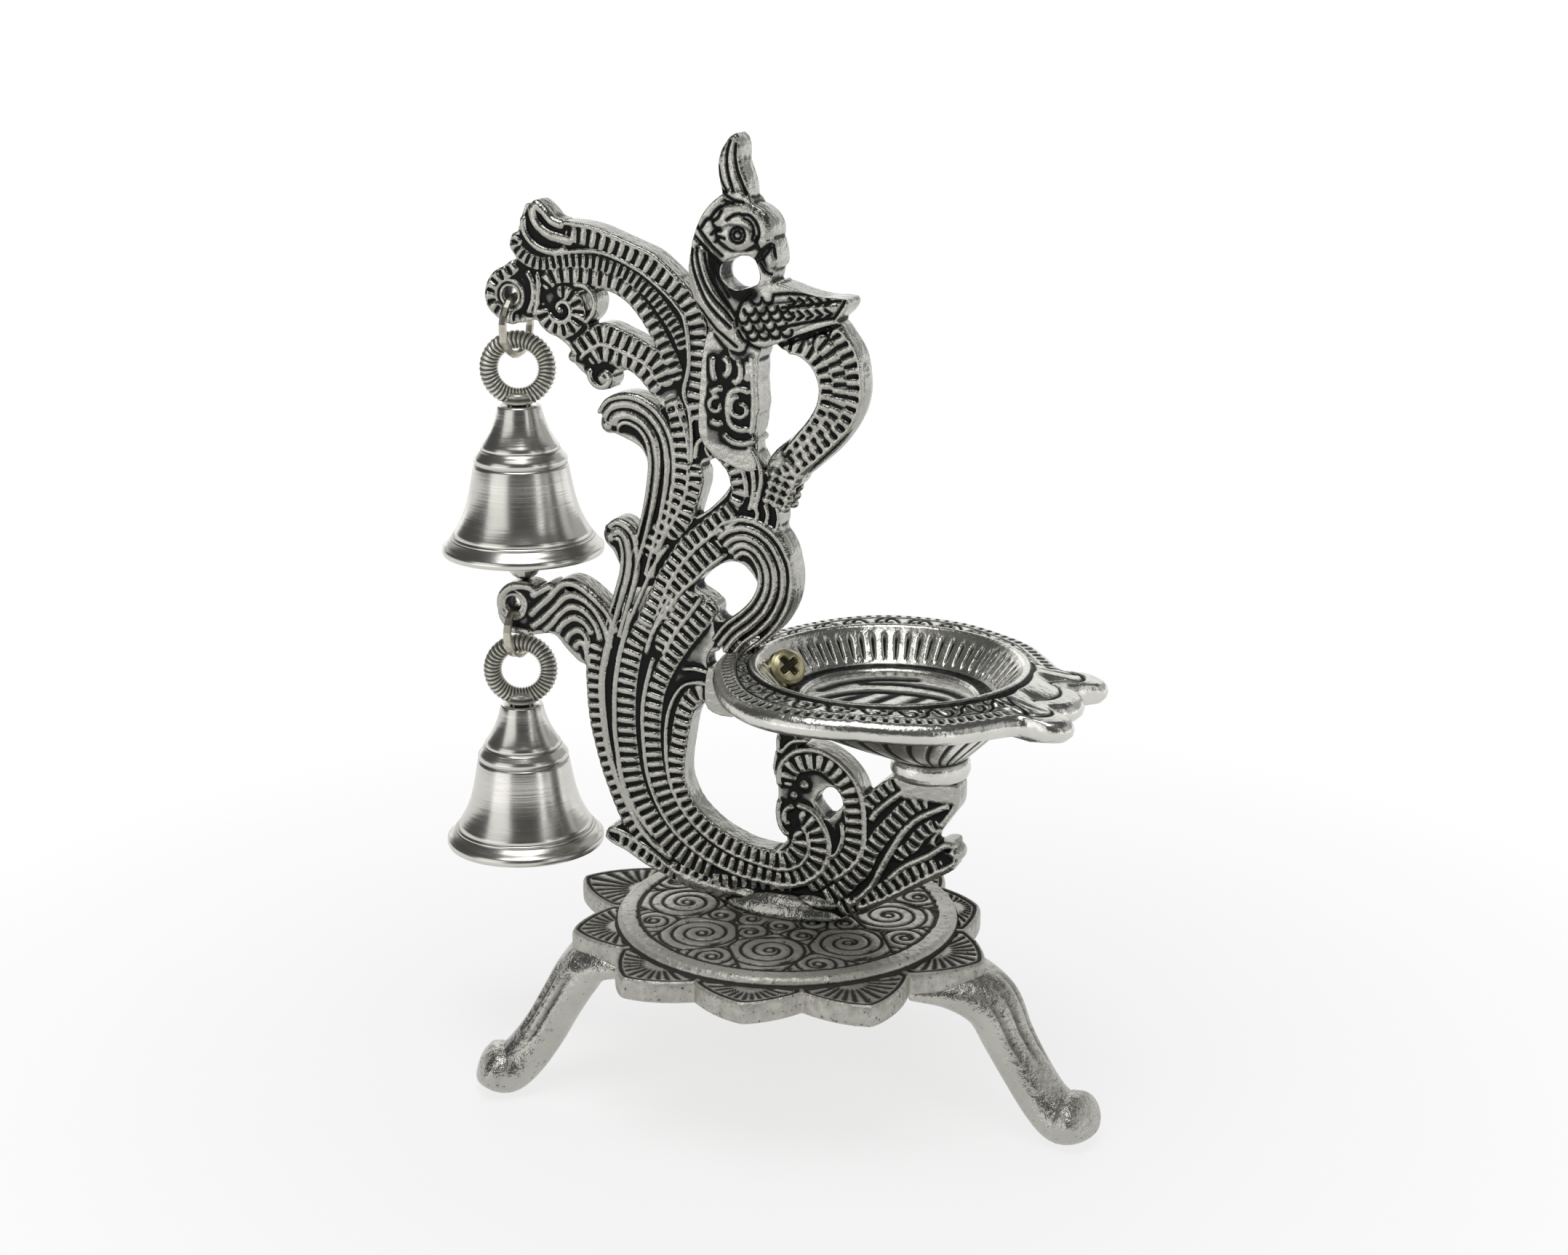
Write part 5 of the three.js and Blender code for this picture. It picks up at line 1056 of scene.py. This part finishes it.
def petal_edge(turn):
    """Distance out to the petals' edge at each bearing in degrees, and the place across its petal."""
    radius = np.zeros_like(turn)
    across = np.zeros_like(turn)
    tips = [angle for angle, _ in PETALS]
    for k, (angle, reach) in enumerate(PETALS):
        back = tips[k - 1] - (360 if k == 0 else 0)
        ahead = tips[(k + 1) % len(tips)] + (360 if k == len(tips) - 1 else 0)
        low, high = (back + angle) / 2, (ahead + angle) / 2
        for wrap in (-360, 0, 360):
            inside = (turn + wrap >= low) & (turn + wrap < high)
            offset = turn[inside] + wrap - angle
            share = np.where(offset < 0, offset / (angle - low), offset / (high - angle))
            radius[inside] = PETAL_NOTCH + (reach - PETAL_NOTCH) * (1 - np.abs(share) ** 1.25)
            across[inside] = share
    return radius, across


# scrolls fill the medallion: big ones in a ring, small ones in the gaps outside and inside it. Each has
# its middle, its size, the way it winds and where it starts.
scrolls = []
for k in range(8):
    for out, shift, size in ((21.4, 0.0, 7.4), (28.4, 0.39, 3.6), (14.2, 0.39, 3.4), (9.0, 0.0, 2.6)):
        middle = math.radians(45 * k + 12) + shift
        way = 1 if k % 2 else -1
        scrolls.append((out * math.cos(middle), out * math.sin(middle), size, way, 2.4 * k + out))
scrolls = np.array(scrolls)


def scroll_groove(points):
    """Cuts of the medallion: a barbed spiral round each scroll's bead, and a line where two scrolls meet."""
    aside = points[:, None, :] - scrolls[None, :, :2]
    power = (aside ** 2).sum(2) - scrolls[None, :, 2] ** 2
    order = np.argsort(power, axis=1)
    rows = np.arange(len(points))
    own, other = order[:, 0], order[:, 1]
    apart = np.hypot(*(scrolls[own, :2] - scrolls[other, :2]).T)
    border = (power[rows, other] - power[rows, own]) / (2 * apart)
    x, y = aside[rows, own, 0], aside[rows, own, 1]
    out = np.hypot(x, y)
    pitch = np.where(scrolls[own, 2] > 5, 2.6, 2.1)
    turn = np.arctan2(y, x) + scrolls[own, 4]
    phase = (out / pitch - scrolls[own, 3] * turn / TURN) % 1
    leaf = (turn * 2.5 + out * 0.5) % TURN / TURN
    spiral = np.exp(-((phase - 0.5) * pitch / 0.36) ** 2) * (out > 1.0)
    barbs = np.exp(-((leaf - 0.5) * 3.2) ** 2 * 9) * np.clip((out - 5.2) / 0.8, 0, 1) * (phase < 0.5)
    bead = np.exp(-((out - 1.0) / 0.34) ** 2)
    line = np.exp(-(border / 0.34) ** 2)
    return np.clip(np.maximum.reduce([spiral, 0.8 * barbs, bead, line]), 0, 1)


def base_places(v, u):
    """The plate's points and grooves: medallion, petals, their rim wall and the underside."""
    starts = np.concatenate([[0], np.cumsum([row[2] for row in MEDALLION_ROWS])])
    petals_from = starts[-1]
    rim_from = petals_from + PETAL_STEPS
    underside_from = rim_from + RIM_STEPS
    row = v * (underside_from + UNDERSIDE_STEPS)
    turn = u * 360 - 180
    edge, across = petal_edge(turn)
    radius, height = np.zeros(len(u)), np.full(len(u), PLATE_TOP)
    middle = row <= petals_from
    petals_at = MEDALLION_RADIUS + 0.1
    radius[middle] = np.interp(row[middle], starts, [r[0] for r in MEDALLION_ROWS] + [petals_at])
    height[middle] = np.interp(row[middle], starts, [r[1] for r in MEDALLION_ROWS] + [PLATE_TOP])
    petal = (row > petals_from) & (row <= rim_from)
    radius[petal] = petals_at + (edge[petal] - 0.5 - petals_at) * ((row[petal] - petals_from) / PETAL_STEPS)
    wall = (row > rim_from) & (row <= underside_from)
    drop = (row[wall] - rim_from) / RIM_STEPS
    radius[wall] = edge[wall] - 0.5 * np.abs(2 * np.clip(drop, 0, 1) - 1) ** 6
    height[wall] = PLATE_TOP - PLATE_THICK * np.clip((drop - 0.1) / 0.9, 0, 1) ** 0.9 - 0.4 * (drop > 0.05)
    height[wall] = np.maximum(height[wall], PLATE_TOP - PLATE_THICK)
    below = row > underside_from
    radius[below] = (edge[below] - 0.5) * (1 - (row[below] - underside_from) / UNDERSIDE_STEPS)
    height[below] = PLATE_TOP - PLATE_THICK
    angle = np.radians(turn)
    x, y = radius * np.sin(angle), -radius * np.cos(angle)
    groove = np.zeros(len(u))

    inner = row <= starts[1]
    cut = 0.95 * scroll_groove(np.stack([x, y], 1)[inner])
    field = np.clip((radius[inner] - 6) / 3, 0, 1)
    groove[inner] = np.maximum(cut * field, np.exp(-((radius[inner] - BORDER_RADIUS) / 0.4) ** 2))
    height[inner] -= SCROLL_DEPTH * groove[inner]

    # petals: an inset border line, and a fan of cuts that widen outwards
    side = across[petal]
    inset = np.minimum((edge[petal] - radius[petal]) - 1.3, (1 - np.abs(side)) * 9.5 - 0.9)
    border = 1.1 * np.exp(-(inset / 0.42) ** 2)
    ahead = radius[petal] - MEDALLION_RADIUS + 1.6
    fan = np.degrees(np.arctan2(side * FAN_HALF_WIDTH, ahead))
    reach = np.hypot(side * FAN_HALF_WIDTH, ahead)
    aside = np.radians((fan + FAN_STEP / 2) % FAN_STEP - FAN_STEP / 2) * reach
    vein = 1.05 * np.exp(-(aside / (0.2 + 0.032 * reach)) ** 2)
    vein *= np.clip((inset - 0.4) / 0.6, 0, 1) * np.clip((reach - 3.4) / 1.2, 0, 1)
    groove[petal] = np.maximum(border, vein)
    height[petal] -= VEIN_DEPTH * groove[petal]
    groove[wall] = 0.12
    # painted shadow: a dark band on the lower part of the medallion's edge and where the petals start
    rim_foot_painted_shadow = (row > starts[4]) & (row <= petals_from + 2)
    groove[rim_foot_painted_shadow] = np.maximum(groove[rim_foot_painted_shadow], 0.75)
    return np.stack([x, y, height], 1), groove


base_steps = sum(row[2] for row in MEDALLION_ROWS) + PETAL_STEPS + RIM_STEPS + UNDERSIDE_STEPS
base_mesh = as_mesh(shell(base_steps, 560, base_places))
# distance out, height, thickness and width along each kind of leg
RIGHT_LEG = [(34, 30.4, 7, 22), (41, 30, 9, 18), (47, 27, 10.6, 13.6), (50.8, 20.4, 10, 11.2),
             (55, 13.8, 9.6, 10.5), (59.2, 8.2, 9.6, 10.6), (63, 5.4, 10, 12), (66, 6.2, 10, 13),
             (67.8, 7.6, 8.4, 11.4), (68.7, 8.2, 4.6, 6.6)]
SHORT_LEG = [(34, 30.4, 7, 22), (40.4, 29.6, 8.4, 18), (44.4, 25.4, 9.6, 13.4), (48, 19.6, 9.4, 11.2),
             (51.6, 13.4, 9.4, 10.5), (55.6, 8, 9.6, 10.6), (59.2, 5.2, 10, 12), (62, 6, 9.8, 12.6),
             (63.8, 7.2, 8.2, 11), (64.7, 7.8, 4.6, 6.6)]
SOLE_CUT = 0.5
LEG_FULLNESS = 1.1
KNEE_AT, KNEE_LENGTH = 20, 8.0
FLUTE_DEPTH = 0.8
leg_finish = oxidised("polished_leg_metal", rgb(0.54, 0.53, 0.485), rgb(0.05, 0.05, 0.042),
                      polish=0.24, skin_mm=0.22, patina=0.6, pits=0.6)


def leg(bearing, rows):
    """One cabriole leg with four flutes at the knee and an upturned toe."""
    line, reach = smooth_line(rows, 0.6)
    along = heading(line[:, :2])
    lowest = (line[:, 1] - line[:, 2] / 2).min() + SOLE_CUT
    sheet, u, v = flat_grid(len(line) - 1, 64)
    i = np.rint(u * (len(line) - 1)).astype(int)
    turn = v * TURN
    full = np.sqrt(1 - (1 - np.clip((reach[-1] - reach) / 1.6, 0, 1)) ** 2)
    up = np.cos(turn) * line[i, 2] / 2 * full[i]
    side = np.sin(turn) * line[i, 3] / 2 * full[i] * LEG_FULLNESS
    knee = np.exp(-((reach[i] - KNEE_AT) / KNEE_LENGTH) ** 4)
    round_leg = (turn + math.pi) % TURN - math.pi
    flute = np.max([np.exp(-((round_leg - middle) / 0.15) ** 2) for middle in (-0.86, -0.3, 0.3, 0.86)], 0)
    flute *= knee
    up -= FLUTE_DEPTH * flute
    out = line[i, 0] - along[i, 1] * up
    z = np.maximum(line[i, 1] + along[i, 0] * up - lowest, 0.0)
    outward = Vector((math.sin(math.radians(bearing)), -math.cos(math.radians(bearing)), 0))
    points = np.stack([outward.x * out - outward.y * side, outward.y * out + outward.x * side, z], 1)
    layer = sheet.verts.layers.float.new("groove")
    for vert, value in zip(sheet.verts, 0.62 * flute - 0.2 * knee):
        vert[layer] = value
    shape_grid(sheet, points)
    bmesh.ops.holes_fill(sheet, edges=sheet.edges)
    return as_mesh(sheet)


base_piece = finished("base_petals", base_mesh, base_finish, "stand")
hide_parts("lotus_base")
for name, bearing, rows in (("left", -60.6, SHORT_LEG), ("right", 83.4, RIGHT_LEG),
                            ("back", 191.4, SHORT_LEG)):
    finished(f"base_leg_{name}", leg(bearing, rows), leg_finish, "stand")

# Bells. Each is turned and polished, with engraved lines round it, and screws onto a loop whose ring has
# slanting ribs. A jump ring or split ring hangs it from the stem.
bell_finish = Finish("turned_bell_metal", Metallic=1.0)
lathe = bell_finish.noise(0.5, 4, bell_finish.stretched(0.02, 0.02, 1.0))
smear = bell_finish.noise(5.0, 3)
bell_finish.drive(
    Base_Color=bell_finish.blend((bell_finish.mark("groove") * 0.9 + (smear - 0.5) * 0.12).kept_in(),
                                 rgb(0.6, 0.59, 0.55), rgb(0.12, 0.12, 0.1)),
    Roughness=(0.18 + lathe * 0.14 + (smear - 0.5) * 0.1).kept_in(),
    Normal=bell_finish.bump(lathe + smear * 0.6, 0.045, 0.7))
loop_finish = oxidised("loop_cast_metal", rgb(0.74, 0.73, 0.66), rgb(0.12, 0.12, 0.1),
                       polish=0.36, skin_mm=0.03, patina=0.35)
# height and radius, from the rim's inner edge up the outside to the crown, with the engraved lines cut in
BELL_LINE = [(0.25, 16.0), (0, 16.45), (0.15, 16.85), (0.6, 17), (1.5, 16.95), (1.75, 16.6), (2.3, 16.1),
             (3.3, 15.3), (3.42, 14.95), (3.6, 15.05), (3.9, 14.85), (4.02, 14.5), (4.2, 14.62),
             (5.0, 14.1), (6.4, 13.3), (8, 12.5), (10, 11.75), (12.6, 11.05), (15.4, 10.5), (18.4, 9.95),
             (18.9, 9.8), (19.0, 9.45), (19.25, 9.6), (19.6, 9.75), (20.3, 9.7), (20.8, 9.3), (21.6, 8.75),
             (22.0, 8.45), (22.1, 8.1), (22.35, 8.2), (22.8, 8.15), (23.4, 7.7), (24.6, 6.95), (26, 6.15),
             (27.8, 5.4), (29.6, 4.85), (30.9, 4.6), (31.25, 4.4), (31.3, 4.0), (31.3, 1.8)]
GROOVED = {8, 11, 21, 28}
BELL_WALL = 1.5
# height above the bell's rim and radius of the collar between the bell and its loop
COLLAR_LINE = [(31.45, 0), (31.45, 2.6), (31.9, 3.35), (32.6, 2.9), (33.3, 3.1), (33.9, 2.2), (34.2, 0)]
LOOP_RADIUS = 5.975
LOOP_DROP = 7.95
TUBE_RADIUS = 1.8
RIB_HEIGHT = 0.17
RIBS, RIB_SWAY = 44, 4.0


def spun(profile, axis, steps, grooved=()):
    """A profile of height and radius spun round a vertical line, closed by itself or along that line."""
    sheet = bmesh.new()
    layer = sheet.verts.layers.float.new("groove")
    verts = []
    for k, (height, radius) in enumerate(profile):
        vert = sheet.verts.new((axis[0] + radius, axis[1], height))
        vert[layer] = 0.8 if k in grooved else 0.0
        verts.append(vert)
    edges = [sheet.edges.new(pair) for pair in zip(verts, verts[1:] + verts[:1])
             if pair[0].co.x > axis[0] + 1e-6 or pair[1].co.x > axis[0] + 1e-6]
    bmesh.ops.spin(sheet, geom=verts + edges, axis=(0, 0, 1), cent=(axis[0], axis[1], 0), angle=TURN,
                   steps=steps, use_merge=True)
    bmesh.ops.remove_doubles(sheet, verts=sheet.verts, dist=1e-4)
    bmesh.ops.recalc_face_normals(sheet, faces=sheet.faces)
    return sheet


# each bell hangs turned, so that its loop faces the view
FACE = Vector((math.cos(math.radians(25)), math.sin(math.radians(25)), 0))


def loop_places(centre):
    """A ring with S-shaped ribs: centre is its middle in millimetres."""
    def places(v, u):
        turn, around = u * TURN, v * TURN
        rib = np.cos(RIBS * turn + RIB_SWAY * np.sin(around))
        tube = TUBE_RADIUS + RIB_HEIGHT * rib
        across = (LOOP_RADIUS + tube * np.cos(around)) * np.cos(turn)
        points = np.stack([centre[0] + across * FACE.x - tube * np.sin(around) * FACE.y,
                           centre[1] + across * FACE.y + tube * np.sin(around) * FACE.x,
                           centre[2] + (LOOP_RADIUS + tube * np.cos(around)) * np.sin(turn)], 1)
        return points, np.clip(-rib, 0, 1) * 0.75
    return places


def node_axis(node):
    """The middle of a CAD node in millimetres from the stem's axis, its foot and its top."""
    low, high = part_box(node)
    middle = (low + high) / 2
    return (middle.x - STEM_AXIS.x) / MM, (middle.y - STEM_AXIS.y) / MM, low.z / MM, high.z / MM


for side in ("upper", "lower"):
    x, y, rim, _ = node_axis(f"{side}_bell")
    inside = [(z + 0.1, r - BELL_WALL) for z, r in BELL_LINE[36:4:-3] if r > 3.4]
    profile = [(z + rim, r) for z, r in BELL_LINE + [(29.8, 1.8)] + inside]
    bell = finished(f"{side}_bell_cup", as_mesh(spun(profile, (x, y), 144, GROOVED)), bell_finish.material,
                    f"{side}_bell_body")
    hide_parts(f"{side}_bell")
    _, _, loop_low, loop_top = node_axis(f"{side}_bell_loop")
    loop_mesh = joined([
        shell(22, 368, loop_places((x, y, loop_top - LOOP_DROP))),
        spun([(rim + z, r) for z, r in COLLAR_LINE], (x, y), 40, (3,)),
        spun([(loop_low, 0), (loop_low, 1.3), (loop_low + 0.3, 1.5), (rim + 31.6, 1.5), (rim + 31.6, 0)],
             (x, y), 24)])
    loop_piece = finished(f"{side}_bell_ring", loop_mesh, loop_finish, f"{side}_bell_body")
    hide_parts(f"{side}_bell_loop")


# Rings, nuts, clappers, base screw and washer: small bought pieces of nickel wire, plain steel and yellow
# zinc, with clapper balls of the bells' own metal. They keep their CAD shapes.
def worn_metal(name, size_mm, bright, dull, polish, spread, skin=0.0, recess=None):
    """Plain metal whose tone and gloss wander over blotches of a size, with an optional dark recess."""
    finish = Finish(name, Metallic=1.0)
    wear = finish.noise(size_mm, 4)
    colour = finish.blend(wear, bright, dull)
    if recess:
        colour = finish.blend(finish.mark("groove"), colour, recess)
    finish.drive(Base_Color=colour, Roughness=(polish + wear * spread).kept_in())
    if skin:
        finish.drive(Normal=finish.bump(wear, 0.02, skin))
    return finish.material


wire_metal = worn_metal("nickel_wire", 0.8, rgb(0.6, 0.58, 0.5), rgb(0.4, 0.38, 0.31), 0.2, 0.22, skin=0.4)
steel = worn_metal("plain_steel_metal", 1.0, rgb(0.55, 0.55, 0.54), rgb(0.38, 0.38, 0.37), 0.28, 0.2)
zinc = worn_metal("yellow_zinc_metal", 1.3, rgb(0.62, 0.56, 0.33), rgb(0.45, 0.42, 0.27),
                  0.26, 0.2, skin=0.3)
for names, material in (
        (("upper_jump_ring", "lower_split_ring"), wire_metal),
        (("upper_bell_nut", "lower_bell_nut", "upper_clapper_wire", "lower_clapper_wire",
          "base_washer"), steel),
        (("upper_clapper_ball", "lower_clapper_ball"), bell_finish.material),
        (("base_screw",), zinc)):
    for name in names:
        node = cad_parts[name]
        node.data.materials.clear()
        node.data.materials.append(material)

# Bowl screw. A yellow zinc pan head screw with a cross recess, turned into the stem through the sloping
# wall of the well. It sits a little askew, with its head towards the front.
HEAD_RADIUS = 4.0
SHANK_RADIUS = 1.95
SCREW_LENGTH = 11.5
RECESS_DEPTH = 1.0
RECESS_HALF_WIDTH = 0.62
RECESS_REACH = 2.15
screw_seat = Vector((-0.2, -1.0, 90.0))
screw_axis = Vector((0.62, -0.56, 0.56)).normalized()
screw = spun([(-SCREW_LENGTH, 0), (-SCREW_LENGTH, 1.4), (-SCREW_LENGTH + 0.7, SHANK_RADIUS),
              (0, SHANK_RADIUS), (0, HEAD_RADIUS - 0.1), (0.2, HEAD_RADIUS), (1.1, HEAD_RADIUS),
              (1.9, 3.75), (2.4, 3.1), (2.7, 2.2), (2.8, 1.2), (2.8, 0)], (0, 0), 96)
bmesh.ops.triangulate(screw, faces=[f for f in screw.faces if len(f.verts) > 4])
# the top of the head is cut fine enough for the recess
top = {f for f in screw.faces if f.calc_center_median().z > 1.0}
bmesh.ops.subdivide_edges(screw, edges=[e for e in screw.edges if top.intersection(e.link_faces)], cuts=7,
                          use_grid_fill=True)
screw_layer = screw.verts.layers.float["groove"]
for vert in screw.verts:
    x, y, z = vert.co
    if z > 1.9:
        arm, reach = sorted((abs(x), abs(y)))
        cut = (1 / (1 + math.exp((arm - RECESS_HALF_WIDTH) / 0.09))
               / (1 + math.exp((reach - RECESS_REACH) / 0.12)))
        vert.co.z -= RECESS_DEPTH * cut
        vert[screw_layer] = cut
screw_tilt = screw_axis.to_track_quat("Z", "Y").to_matrix().to_4x4()
cross_turn = Matrix.Rotation(math.radians(30), 4, "Z")
bmesh.ops.transform(screw, verts=screw.verts,
                    matrix=Matrix.Translation(screw_seat) @ (screw_tilt @ cross_turn))
screw_zinc = worn_metal("yellow_zinc_head", 1.3, rgb(0.66, 0.6, 0.36), rgb(0.46, 0.43, 0.28), 0.24, 0.2,
                        recess=rgb(0.05, 0.045, 0.03))
bowl_screw = finished("bowl_screw_head", as_mesh(screw), screw_zinc, "stand")
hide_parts("bowl_screw")

# Studio: a white floor with a white wall round it, which shows white to the camera and to reflections, a
# dark grey world, area lights that the camera doesn't see, and the camera where the photograph's was.
camera_data = bpy.data.cameras.new("camera")
camera_data.lens = 54.1
camera_data.sensor_width = 36
camera = placed("camera", camera_data)
camera.location = (STEM_AXIS.x + 0.1694, STEM_AXIS.y - 0.4265, 0.2321)
camera.rotation_euler = (math.radians(90 - 16.22), 0, math.radians(21.75))
bpy.context.scene.camera = camera

FLOOR_RADIUS = 30
WALL_HEIGHT = 2
floor_sheet = bmesh.new()
bmesh.ops.create_circle(floor_sheet, cap_ends=True, segments=64, radius=FLOOR_RADIUS)
wall_top = bmesh.ops.extrude_edge_only(floor_sheet, edges=floor_sheet.edges[:])["geom"]
bmesh.ops.translate(floor_sheet, verts=[part for part in wall_top if isinstance(part, bmesh.types.BMVert)],
                    vec=(0, 0, WALL_HEIGHT))
floor = placed("floor", as_mesh(floor_sheet))
floor_finish = Finish("white_floor", Roughness=0.9, Base_Color=rgb(0.9, 0.9, 0.9))
camera_ray, glossy_ray, transmission_ray = (
    floor_finish.node("ShaderNodeLightPath", out=ray)
    for ray in ("Is Camera Ray", "Is Glossy Ray", "Is Transmission Ray"))
seen = camera_ray + glossy_ray + transmission_ray
# the glow is weaker near the stand, where the floor has to keep its shadow
far_off = floor_finish.node("ShaderNodeVectorMath", {"operation": "LENGTH"}, (floor_finish.place,),
                            out="Value")
share = seen * ((far_off - 0.12) * 1.4 + 0.84).kept_in()
plain = Wire(floor_finish, floor_finish.shader.outputs["BSDF"])
glow = floor_finish.node("ShaderNodeEmission", None, {"Color": rgb(1, 1, 1), "Strength": 1.0}, out="Emission")
shown = floor_finish.node("ShaderNodeMixShader", None, (share, plain, glow))
floor_finish.join(shown, floor_finish.tree.nodes["Material Output"].inputs["Surface"])
floor.data.materials.append(floor_finish.material)

world = bpy.data.worlds.new("studio")
world.use_nodes = True
world.node_tree.nodes["Background"].inputs["Color"].default_value = rgb(0.09, 0.09, 0.09)
bpy.context.scene.world = world

# name, bearing from the front towards the right, distance, height, width, tall, power
for name, bearing, far, high, wide, tall, power in (
        ("box_front", -29, 0.9, 0.32, 0.7, 0.8, 1.9), ("strip_right", 64, 0.8, 0.3, 0.14, 0.8, 0.55),
        ("box_right", 108, 0.9, 0.35, 0.8, 0.8, 1.2), ("box_back_left", -130, 1.0, 0.4, 0.6, 0.8, 0.9),
        ("box_back_right", 152, 0.9, 0.35, 0.5, 0.7, 0.5), ("backdrop", 200, 1.0, 0.45, 1.2, 0.6, 2.4),
        ("overhead", 0, 0.2, 1.1, 0.7, 0.7, 4.6)):
    lamp_data = bpy.data.lights.new(name, "AREA")
    lamp_data.shape = "RECTANGLE"
    lamp_data.size = wide
    lamp_data.size_y = tall
    lamp_data.energy = power
    lamp = placed(name, lamp_data)
    lamp.visible_camera = False
    turn = math.radians(bearing)
    lamp.location = STEM_AXIS + Vector((math.sin(turn) * far, -math.cos(turn) * far, high - STEM_AXIS.z))
    aim = Vector((STEM_AXIS.x, STEM_AXIS.y, 0.1)) - lamp.location
    lamp.rotation_euler = aim.to_track_quat("-Z", "Y").to_euler()

bpy.context.scene.view_settings.view_transform = "Standard"
